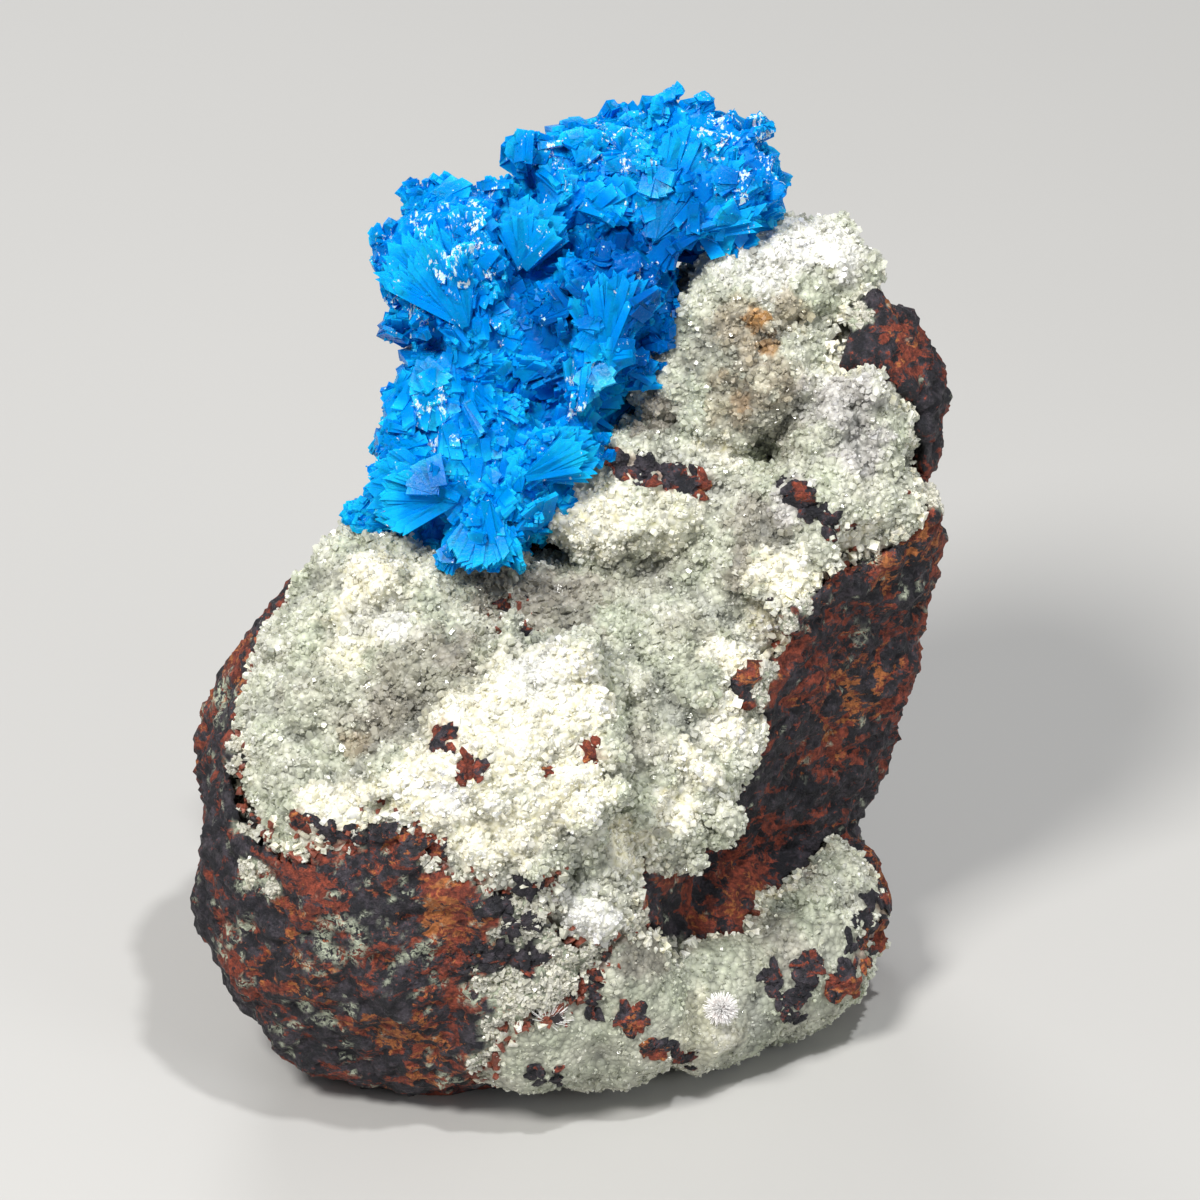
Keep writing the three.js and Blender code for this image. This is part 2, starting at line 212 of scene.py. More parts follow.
class Paint:
    """One material and the nodes that make it."""

    def __init__(self, name: str) -> None:
        """Makes a material with a Principled shader.

        Args:
            name: the material's name.
        """
        self.material = bpy.data.materials.new(name)
        self.material.use_nodes = True
        self.tree = self.material.node_tree
        self.tree.nodes.clear()
        self.surface = self.node("ShaderNodeBsdfPrincipled")
        self.node("ShaderNodeOutputMaterial", {}, {"Surface": self.surface.outputs[0]})
        self._place: Optional[bpy.types.NodeSocket] = None

    def node(
        self, kind: str, settings: Optional[dict] = None, inputs: Optional[dict] = None
    ) -> bpy.types.Node:
        """Adds a node.

        Args:
            kind: the node's type.
            settings: its properties, set first.
            inputs: values, links or Values for its sockets, by name or number.

        Returns:
            The new node.
        """
        made = self.tree.nodes.new(kind)
        for key, value in (settings or {}).items():
            setattr(made, key, value)
        for key, value in (inputs or {}).items():
            self.feed(made.inputs[key], value)
        return made

    def feed(self, socket: bpy.types.NodeSocket, value: object) -> None:
        """Links a socket or a Value to a socket, or sets a constant on it.

        Args:
            socket: the input that is fed.
            value: the socket, the Value or the constant.
        """
        if isinstance(value, Value):
            self.tree.links.new(value.socket, socket)
        elif isinstance(value, bpy.types.NodeSocket):
            self.tree.links.new(value, socket)
        elif isinstance(value, tuple) and len(value) == 3 and socket.type == "RGBA":
            socket.default_value = rgba(value)
        else:
            socket.default_value = value

    def set(self, **inputs: object) -> None:
        """Feeds the Principled shader's sockets, named with _ for a space."""
        for key, value in inputs.items():
            self.feed(self.surface.inputs[key.replace("_", " ")], value)

    @property
    def place(self) -> bpy.types.NodeSocket:
        """The point on the piece, in object coordinates."""
        if self._place is None:
            self._place = self.node("ShaderNodeTexCoord").outputs["Object"]
        return self._place

    def stretched(self, scale: Point, turn: Point = (0.0, 0.0, 0.0)) -> bpy.types.NodeSocket:
        """The point on the piece, scaled and turned.

        Args:
            scale: a factor for each axis.
            turn: a turn about each axis, in radians.

        Returns:
            The socket with the point.
        """
        settings = {"Vector": self.place, "Scale": scale, "Rotation": turn}
        return self.node("ShaderNodeMapping", {}, settings).outputs[0]

    def cloud(
        self,
        size: float,
        detail: float = 4.0,
        rough: float = 0.55,
        warp: float = 0.0,
        at: Optional[bpy.types.NodeSocket] = None,
    ) -> Value:
        """Fractal noise.

        Args:
            size: how large its features are, in millimetres.
            detail: how many finer layers it has.
            rough: how strong the finer layers are.
            warp: how far it is bent.
            at: the point that it is read at. Without one, the point on the piece.

        Returns:
            A value from 0 to 1.
        """
        inputs = {
            "Vector": at or self.place,
            "Scale": 1.0 / (size * MM),
            "Detail": detail,
            "Roughness": rough,
            "Distortion": warp,
        }
        return Value(self, self.node("ShaderNodeTexNoise", {}, inputs).outputs["Fac"])

    def cells(self, size: float) -> bpy.types.Node:
        """A Voronoi pattern with cells of so many millimetres."""
        return self.node("ShaderNodeTexVoronoi", {}, {"Vector": self.place, "Scale": 1.0 / (size * MM)})

    def attribute(self, name: str) -> Value:
        """A number stored on the piece's points."""
        return Value(self, self.node("ShaderNodeAttribute", {"attribute_name": name}).outputs["Fac"])

    def attribute_colour(self, name: str) -> bpy.types.NodeSocket:
        """A colour stored on the piece's points."""
        return self.node("ShaderNodeAttribute", {"attribute_name": name}).outputs["Color"]

    def mix(self, share: Input, first: Shade, second: Shade, how: str = "MIX") -> bpy.types.NodeSocket:
        """Blends two colours.

        Args:
            share: how much of the second there is, from 0 to 1.
            first: the first colour.
            second: the second colour.
            how: the Mix node's way of blending.

        Returns:
            The socket with the blend.
        """
        node = self.node("ShaderNodeMix", {"data_type": "RGBA", "blend_type": how, "clamp_factor": True})
        self.feed(node.inputs[0], share)
        self.feed(node.inputs[6], first)
        self.feed(node.inputs[7], second)
        return node.outputs[2]

    def bump(self, height: Input, reach: float, strength: float = 1.0) -> bpy.types.NodeSocket:
        """Small relief.

        Args:
            height: how high the surface is, from 0 to 1.
            reach: what a height of 1 stands for, in millimetres.
            strength: how strongly it shows.

        Returns:
            The socket with the normal.
        """
        inputs = {"Height": height, "Distance": reach * MM, "Strength": strength}
        return self.node("ShaderNodeBump", {}, inputs).outputs[0]


# ---------------------------------------------------------------- meshes


def link(name: str, mesh: bpy.types.Mesh) -> bpy.types.Object:
    """Puts a mesh in the scene as an object at the origin.

    Args:
        name: the object's name.
        mesh: its mesh.

    Returns:
        The object.
    """
    piece = bpy.data.objects.new(name, mesh)
    bpy.context.scene.collection.objects.link(piece)
    return piece


def points_of(mesh: bpy.types.Mesh) -> np.ndarray:
    """A mesh's points.

    Args:
        mesh: the mesh.

    Returns:
        One row for each point, in millimetres.
    """
    flat = np.empty(3 * len(mesh.vertices), np.float32)
    mesh.vertices.foreach_get("co", flat)
    return flat.reshape(-1, 3).astype(float) / MM


def normals_of(mesh: bpy.types.Mesh) -> np.ndarray:
    """A mesh's normals at its points.

    Args:
        mesh: the mesh.

    Returns:
        One row for each point.
    """
    flat = np.empty(3 * len(mesh.vertices), np.float32)
    mesh.vertex_normals.foreach_get("vector", flat)
    return flat.reshape(-1, 3).astype(float)


def move_points(mesh: bpy.types.Mesh, points: np.ndarray) -> None:
    """Gives a mesh new points, in millimetres."""
    mesh.vertices.foreach_set("co", (points * MM).astype(np.float32).ravel())
    mesh.update()


def store(mesh: bpy.types.Mesh, name: str, values: np.ndarray) -> None:
    """Stores one number for each point of a mesh."""
    kept = mesh.attributes.new(name, "FLOAT", "POINT")
    kept.data.foreach_set("value", values.astype(np.float32).ravel())


def store_colour(mesh: bpy.types.Mesh, name: str, colours: np.ndarray) -> None:
    """Stores one colour for each point of a mesh.

    Args:
        mesh: the mesh.
        name: what the colours are stored as.
        colours: one row for each point.
    """
    kept = mesh.attributes.new(name, "FLOAT_COLOR", "POINT")
    full = np.ones((len(colours), 4), np.float32)
    full[:, :3] = colours
    kept.data.foreach_set("color", full.ravel())


def even_skin(node: str, name: str, voxel: float, smoothing: int = 2) -> bpy.types.Object:
    """A copy of a CAD node with an even skin of small faces.

    Args:
        node: the node's name.
        name: the new piece's name.
        voxel: the skin's face size in millimetres.
        smoothing: how many times its points are evened out.

    Returns:
        The new piece.
    """
    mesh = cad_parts[node].data.copy()
    shape = bmesh.new()
    shape.from_mesh(mesh)
    bmesh.ops.remove_doubles(shape, verts=shape.verts, dist=0.0005 * MM)
    shape.to_mesh(mesh)
    shape.free()
    source = link(name + "_source", mesh)
    remesh = source.modifiers.new("even skin", "REMESH")
    remesh.mode = "VOXEL"
    remesh.voxel_size = voxel * MM
    remesh.use_smooth_shade = True
    if smoothing:
        soften = source.modifiers.new("soften", "SMOOTH")
        soften.iterations = smoothing
    depsgraph = bpy.context.evaluated_depsgraph_get()
    skin = bpy.data.meshes.new_from_object(source.evaluated_get(depsgraph))
    skin.materials.clear()
    bpy.data.objects.remove(source)
    return link(name, skin)


def tree_of_mesh(*meshes: bpy.types.Mesh) -> BVHTree:
    """A search tree of faces.

    Args:
        meshes: one or more meshes.

    Returns:
        A tree of all their faces.
    """
    shape = bmesh.new()
    for mesh in meshes:
        shape.from_mesh(mesh)
    tree = BVHTree.FromBMesh(shape)
    shape.free()
    return tree


def tree_of(piece: bpy.types.Object) -> BVHTree:
    """A search tree of a piece's faces."""
    return tree_of_mesh(piece.data)


def finish_piece(piece: bpy.types.Object, paint: Paint, node: str, smooth: bool) -> None:
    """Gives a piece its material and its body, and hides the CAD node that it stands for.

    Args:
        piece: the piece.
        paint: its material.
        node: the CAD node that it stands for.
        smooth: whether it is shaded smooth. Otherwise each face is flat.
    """
    piece.data.materials.clear()
    piece.data.materials.append(paint.material)
    if smooth:
        piece.data.shade_smooth()
    else:
        piece.data.shade_flat()
    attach(piece, "root")
    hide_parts(node)
    log.info("%s: %d points, %d faces", piece.name, len(piece.data.vertices), len(piece.data.polygons))


@dataclass(frozen=True)
class Seed:
    """A small crystal's mesh, of unit size, that is repeated many times: points and faces."""

    points: np.ndarray
    faces: list[tuple[int, ...]]

    @staticmethod
    def grown(build: Callable[[bmesh.types.BMesh], None]) -> "Seed":
        """Makes the crystal with mesh operators.

        Args:
            build: adds the crystal to an empty mesh. It stands along +Z from the origin.

        Returns:
            Its points and its faces.
        """
        shape = bmesh.new()
        build(shape)
        bmesh.ops.recalc_face_normals(shape, faces=shape.faces)
        shape.verts.index_update()
        points = np.array([v.co for v in shape.verts], float)
        faces = [tuple(v.index for v in face.verts) for face in shape.faces]
        shape.free()
        return Seed(points, faces)


def turned(directions: np.ndarray, spins: np.ndarray) -> np.ndarray:
    """Rotation matrices that stand +Z along each direction.

    Args:
        directions: one row for each matrix.
        spins: how far each is turned about its direction, in radians.

    Returns:
        The matrices.
    """
    z = directions / np.linalg.norm(directions, axis=1, keepdims=True)
    helper = np.where(np.abs(z[:, 2:3]) < 0.9, [[0.0, 0.0, 1.0]], [[1.0, 0.0, 0.0]])
    x = np.cross(helper, z)
    x /= np.linalg.norm(x, axis=1, keepdims=True)
    y = np.cross(z, x)
    cos, sin = np.cos(spins)[:, None], np.sin(spins)[:, None]
    return np.stack([x * cos + y * sin, y * cos - x * sin, z], axis=2)


def crowd(
    name: str,
    seed: Seed,
    places: np.ndarray,
    turns: np.ndarray,
    sizes: np.ndarray,
    marks: Optional[dict[str, np.ndarray]] = None,
    tints: Optional[np.ndarray] = None,
) -> bpy.types.Object:
    """One mesh of many copies of a small crystal.

    Args:
        name: the piece's name.
        seed: the crystal.
        places: where each copy stands, in millimetres.
        turns: each copy's rotation matrix.
        sizes: each copy's size along its own three axes, in millimetres.
        marks: numbers for each copy, stored on its points.
        tints: a colour for each copy, stored as "tint".

    Returns:
        The new piece.
    """
    count, per = len(places), len(seed.points)
    points = seed.points[None] * sizes[:, None]
    points = np.einsum("nij,npj->npi", turns, points) + places[:, None]
    corners = np.array([len(face) for face in seed.faces])
    loops = np.concatenate([np.array(face) for face in seed.faces])
    mesh = bpy.data.meshes.new(name)
    mesh.vertices.add(count * per)
    mesh.vertices.foreach_set("co", (points.reshape(-1, 3) * MM).astype(np.float32).ravel())
    all_loops = (loops[None] + per * np.arange(count)[:, None]).ravel()
    mesh.loops.add(len(all_loops))
    mesh.loops.foreach_set("vertex_index", all_loops.astype(np.int32))
    starts = np.concatenate([[0], np.cumsum(np.tile(corners, count))[:-1]])
    mesh.polygons.add(count * len(corners))
    mesh.polygons.foreach_set("loop_start", starts.astype(np.int32))
    mesh.update(calc_edges=True)
    mesh.validate()
    for mark, values in (marks or {}).items():
        store(mesh, mark, np.repeat(values, per))
    store(mesh, "along", np.tile(seed.points[:, 2], count))
    if tints is not None:
        store_colour(mesh, "tint", np.repeat(tints, per, axis=0))
    return link(name, mesh)


def scatter(mesh: bpy.types.Mesh, count: int, roll: np.random.Generator) -> tuple[np.ndarray, np.ndarray]:
    """Random points spread evenly over a mesh.

    Args:
        mesh: the surface.
        count: how many points.
        roll: the random numbers.

    Returns:
        The points in millimetres, and the smooth normal at each.
    """
    mesh.calc_loop_triangles()
    triangles = np.empty(3 * len(mesh.loop_triangles), np.int32)
    mesh.loop_triangles.foreach_get("vertices", triangles)
    triangles = triangles.reshape(-1, 3)
    points, normals = points_of(mesh), normals_of(mesh)
    a, b, c = (points[triangles[:, k]] for k in range(3))
    areas = np.linalg.norm(np.cross(b - a, c - a), axis=1)
    chosen = roll.choice(len(triangles), count, p=areas / areas.sum())
    u, v = roll.random(count), roll.random(count)
    over = u + v > 1
    u[over], v[over] = 1 - u[over], 1 - v[over]
    share = np.stack([1 - u - v, u, v], axis=1)[:, :, None]
    corners = triangles[chosen]
    spots = (points[corners] * share).sum(axis=1)
    facing = (normals[corners] * share).sum(axis=1)
    return spots, facing / np.linalg.norm(facing, axis=1, keepdims=True)


def leaning(normals: np.ndarray, lean: float, roll: np.random.Generator) -> np.ndarray:
    """Directions near the normals, tipped at random by up to about the lean."""
    tipped = normals + lean * roll.normal(size=normals.shape)
    return tipped / np.linalg.norm(tipped, axis=1, keepdims=True)


def uneven(
    span: np.ndarray, deep: tuple[float, float], tall: tuple[float, float], roll: np.random.Generator
) -> np.ndarray:
    """Sizes of crystals of about the same shape.

    Args:
        span: how wide each crystal is, in millimetres.
        deep: its least depth and how much more there can be, as shares of its width.
        tall: the same for its height.
        roll: the random numbers.

    Returns:
        Each crystal's width, depth and height, in millimetres.
    """
    depth = span * (deep[0] + deep[1] * roll.random(len(span)))
    return np.stack([span, depth, span * (tall[0] + tall[1] * roll.random(len(span)))], 1)


def covered(tree: BVHTree, spots: np.ndarray, facing: np.ndarray, reach: float) -> np.ndarray:
    """Which spots have a surface close in front of them.

    Args:
        tree: the surface's faces.
        spots: the spots, in millimetres.
        facing: the direction that each looks in.
        reach: how close, in millimetres.

    Returns:
        True or False for each spot.
    """
    found = [
        tree.ray_cast(Vector(spot * MM), Vector(towards), reach * MM)[0] is not None
        for spot, towards in zip(spots, facing)
    ]
    return np.array(found)


def seen(trees: Sequence[BVHTree], spots: np.ndarray, free: float = 5.0) -> np.ndarray:
    """Which spots have a free way out, upwards or up and to one of four sides.

    Args:
        trees: the faces that can be in the way.
        spots: the spots, in millimetres.
        free: how far the way has to be free, in millimetres.

    Returns:
        True or False for each spot.
    """
    sides = (0, 1.57, 3.14, 4.71)
    ways = [Vector((0, 0, 1))]
    ways += [Vector((math.cos(side), math.sin(side), 0.6)).normalized() for side in sides]
    found = np.zeros(len(spots), bool)
    for i, spot in enumerate(spots):
        place = Vector(spot) * MM
        found[i] = any(all(tree.ray_cast(place, way, free * MM)[0] is None for tree in trees) for way in ways)
    return found


def nearest_points(tree: BVHTree, points: np.ndarray) -> tuple[np.ndarray, np.ndarray]:
    """The nearest point of a surface to each point.

    Args:
        tree: the surface's faces.
        points: the points, in millimetres.

    Returns:
        The nearest points, and how far off each is, in millimetres.
    """
    found, gaps = points.copy(), np.zeros(len(points))
    for i, point in enumerate(points):
        hit, _, _, gap = tree.find_nearest(Vector(point * MM))
        found[i], gaps[i] = np.array(hit) / MM, gap / MM
    return found, gaps


def knobs(place: Vector, size: float) -> float:
    """Rounded caps that meet in creases, from about -0.5 to 0.5, with caps of a size in millimetres."""
    near = noise.voronoi(place / size)[0][0]
    return 0.5 - near * near * 1.6


# ---------------------------------------------------------------- finishes


@dataclass(frozen=True)
class BasaltFinish:
    """Near-black basalt with a broken brick-red crust, rusty brown and pale specks of zeolite."""

    dark: Colour = (0.009, 0.009, 0.014)
    plum: Colour = (0.050, 0.042, 0.054)
    wine: Colour = (0.075, 0.014, 0.010)
    red: Colour = (0.29, 0.055, 0.026)
    rust: Colour = (0.40, 0.135, 0.038)
    pale: Colour = (0.46, 0.50, 0.38)
    region_size: float = 6.0
    patch_size: float = 1.5
    brown_size: float = 0.8
    dot_size: float = 0.45
    speck_size: float = 0.40
    grit_size: float = 0.30
    bump_height: float = 0.22

    def paint(self) -> Paint:
        """Makes the material.

        Returns:
            Its paint.
        """
        paint = Paint("basalt")
        drawn = paint.stretched((1.0, 1.0, 1.5), (0.0, math.radians(-35), 0.0))
        stone = paint.mix(paint.cloud(0.9, 6, 0.7).between(0.44, 0.62), self.dark, self.plum)
        region = (paint.cloud(self.region_size, 3, 0.5, 0.4) - 0.5) * 0.55
        rusty = paint.attribute("rusty")
        patches = paint.cloud(self.patch_size, 9, 0.70, 0.5, at=drawn) + region + rusty * 0.09
        reds = patches.between(0.52, 0.56)
        dots = (paint.cloud(self.dot_size, 6, 0.7) + region).between(0.60, 0.66)
        red = paint.mix(paint.cloud(0.5, 6, 0.7).between(0.35, 0.60), self.wine, self.red)
        stone = paint.mix(reds.most(dots) * 0.95, stone, red)
        stains = paint.cloud(self.brown_size, 8, 0.7, 0.6, at=drawn) + (paint.cloud(8.0, 2) - 0.5) * 0.6
        browns = (stains + rusty * 0.10).between(0.57, 0.62)
        stone = paint.mix(browns * reds, stone, self.rust)
        specks = paint.cloud(self.speck_size, 6, 0.72, 0.8).between(0.46, 0.54)
        pale = paint.attribute("pale") * specks
        stone = paint.mix(pale.most(paint.attribute("coat")).clear(), stone, self.pale)
        grit = paint.cloud(self.grit_size, 5, 0.72)
        glossy = paint.cloud(0.8, 3, 0.6).between(0.50, 0.64) * (1 - reds)
        contrast = paint.mix(grit.between(0.30, 0.70), (0.05, 0.05, 0.05), (0.95, 0.95, 0.95))
        paint.set(
            Base_Color=paint.mix(0.55, stone, contrast, "OVERLAY"),
            Roughness=0.74 - glossy * 0.42,
            Normal=paint.bump(grit + paint.cloud(0.13, 2) * 0.4, self.bump_height),
        )
        return paint


@dataclass(frozen=True)
class ZeoliteFinish:
    """Small pale crystals, cream to grey-green, partly clear, each grain darker towards its edge as painted
    shade between the grains. The tint is stored on the points.
    """

    name: str = "zeolite"
    roughness: float = 0.38
    clearness: float = 0.0
    under: float = 0.2
    under_scale: float = 0.5
    grain: float = 0.40
    creases: float = 1.0
    depth: float = 0.6
    bump_height: float = 0.14

    def paint(self) -> Paint:
        """Makes the material.

        Returns:
            Its paint.
        """
        paint = Paint(self.name)
        tint = paint.attribute_colour("tint")
        grains = paint.cells(self.grain)
        # Each grain's random colour, read as one number.
        chance = Value(paint, grains.outputs["Color"])
        away = Value(paint, grains.outputs["Distance"])
        mottle = (paint.cloud(1.5, 4, 0.65) - 0.5) * 0.3
        # A random tone for each grain, darkened towards its edge: painted shade in the creases between
        # grains.
        shade = (0.62 + chance * 0.34 - away * away * 0.7 * self.creases + mottle).clear()
        contrast = paint.mix(shade, (0.0, 0.0, 0.0), (1.0, 1.0, 0.98))
        height = chance * 0.5 - away * 1.2 * self.creases + paint.cloud(0.2, 3, 0.6) * 0.5
        paint.set(
            Base_Color=paint.mix(self.depth, tint, contrast, "OVERLAY"),
            Roughness=self.roughness + (0.5 - chance) * 0.3,
            IOR=1.5,
            Transmission_Weight=self.clearness,
            Subsurface_Weight=self.under,
            Subsurface_Radius=(1.0, 1.0, 0.85),
            Subsurface_Scale=self.under_scale * MM,
            Normal=paint.bump(height, self.bump_height * self.creases, 0.8),
        )
        return paint


@dataclass(frozen=True)
class CavansiteFinish:
    """Vivid azure blue, translucent, with painted shade that deepens it at a blade's root, a painted
    highlight that turns it cyan at its tip, and painted glints of pale cyan-white.
    """

    name: str = "cavansite"
    deep: Colour = (0.0, 0.10, 0.40)
    azure: Colour = (0.0, 0.235, 0.71)
    sky: Colour = (0.01, 0.50, 0.92)
    glint_colour: Colour = (0.62, 0.84, 0.96)
    roughness: float = 0.3
    glint_size: float = 0.34
    fibre_size: float = 0.25
    under_scale: float = 0.35
    bump_height: float = 0.03

    def paint(self) -> Paint:
        """Makes the material.

        Returns:
            Its paint.
        """
        paint = Paint(self.name)
        tone = paint.attribute("tone")
        along = paint.attribute("along")
        # Painted shade and painted highlight: the blue deepens towards a blade's root and turns cyan towards
        # its tip.
        level = tone + (paint.cloud(2.5, 3) - 0.5) * 0.6 + along * 0.3
        body = paint.mix(level.between(0.0, 0.8), self.deep, self.azure)
        tip = ((along - 0.5) * 1.1 + (tone - 0.5) * 0.5 + (paint.cloud(1.4, 2) - 0.5) * 0.7).between(0.1, 0.8)
        fibres = paint.cloud(self.fibre_size, 3, 0.6).between(0.3, 0.8)
        blue = paint.mix(tip * (1 - fibres * 0.4), body, self.sky)
        # Painted glints: pale cyan-white flecks in the colour, gathered at the marks, stand in for light
        # glinting off the blades.
        glint_flecks = paint.cloud(self.glint_size, 4, 0.65, at=paint.stretched((1.5, 1.5, 0.6)))
        glint_clusters = (paint.cloud(1.2, 2) - 0.5) * 0.8 + paint.attribute("painted_glint") * 0.15
        paint.set(
            Base_Color=paint.mix((glint_flecks + glint_clusters).between(0.73, 0.79), blue, self.glint_colour),
            Roughness=self.roughness + (fibres - 0.5) * 0.16,
            IOR=1.54,
            Subsurface_Weight=0.5,
            Subsurface_Radius=(0.05, 0.6, 1.0),
            Subsurface_Scale=self.under_scale * MM,
            Specular_IOR_Level=0.06,
            Normal=paint.bump(fibres, self.bump_height, 0.5),
        )
        return paint


@dataclass(frozen=True)
class MordeniteFinish:
    """Silky white needles with a faint pink tint."""

    white: Colour = (0.98, 0.97, 0.96)
    pink: Colour = (0.96, 0.87, 0.84)

    def paint(self) -> Paint:
        """Makes the material.

        Returns:
            Its paint.
        """
        paint = Paint("mordenite")
        paint.set(
            Base_Color=paint.mix(paint.cloud(0.4, 2).between(0.45, 0.7) * 0.5, self.white, self.pink),
            Roughness=0.45 + (paint.cloud(0.2, 2) - 0.5) * 0.2,
        )
        return paint


# ---------------------------------------------------------------- named marks


@dataclass(frozen=True)
class Mark:
    """A spot of the surface, by the picture point that it shows at and its radius in millimetres."""

    across: float
    down: float
    radius: float
    strength: float = 1.0

    def weights(self, tree: BVHTree, points: np.ndarray, ragged: float = 0.55) -> np.ndarray:
        """How much each point belongs to the spot.

        Args:
            tree: the surface that the picture point lands on.
            points: the points to weigh, in millimetres.
            ragged: how far the spot's edge wanders, as a share of its radius.

        Returns:
            A number from 0 to 1 for each point.
        """
        centre = VIEW.land(tree, self.across, self.down)
        found = np.zeros(len(points))
        if centre is None:
            return found
        away = np.linalg.norm(points - np.array(centre) / MM, axis=1) / self.radius
        for i in np.nonzero(away < 1 + 1.5 * ragged)[0]:
            place = Vector(points[i])
            wander = noise.noise(place / self.radius * 1.3) + 0.7 * noise.noise(place * 2.2)
            edge = away[i] + ragged * wander
            found[i] = min(1.0, max(0.0, (1.0 - edge) * 3.0))
        return found * self.strength


def named_marks(**places: tuple[float, ...]) -> tuple[Mark, ...]:
    """Marks by the name of each one's place: across, down, radius and, unless it is 1, strength."""
    return tuple(Mark(*place) for place in places.values())


def streak(
    start: tuple[float, float], end: tuple[float, float], radius: float, count: int
) -> tuple[Mark, ...]:
    """A row of marks from one picture point to another.

    Args:
        start: the first picture point.
        end: the last one.
        radius: each mark's radius in millimetres.
        count: how many marks.

    Returns:
        The marks.
    """
    steps = [k / (count - 1) for k in range(count)]
    across, down = end[0] - start[0], end[1] - start[1]
    return tuple(Mark(start[0] + across * k, start[1] + down * k, radius) for k in steps)


class Tint(Enum):
    """The zeolite's colours; the grey one also stands for painted shade."""

    CLEAR = (0.60, 0.60, 0.50)
    CREAM = (0.96, 0.92, 0.72)
    WHITE = (0.97, 0.96, 0.88)
    GREEN = (0.46, 0.49, 0.38)
    GREY_AND_SHADE = (0.27, 0.25, 0.21)
    BROWN = (0.33, 0.26, 0.17)
    LILAC = (0.50, 0.48, 0.47)
    STAIN = (0.40, 0.20, 0.06)
    CHIP = (0.02, 0.014, 0.018)
    RED = (0.20, 0.05, 0.028)


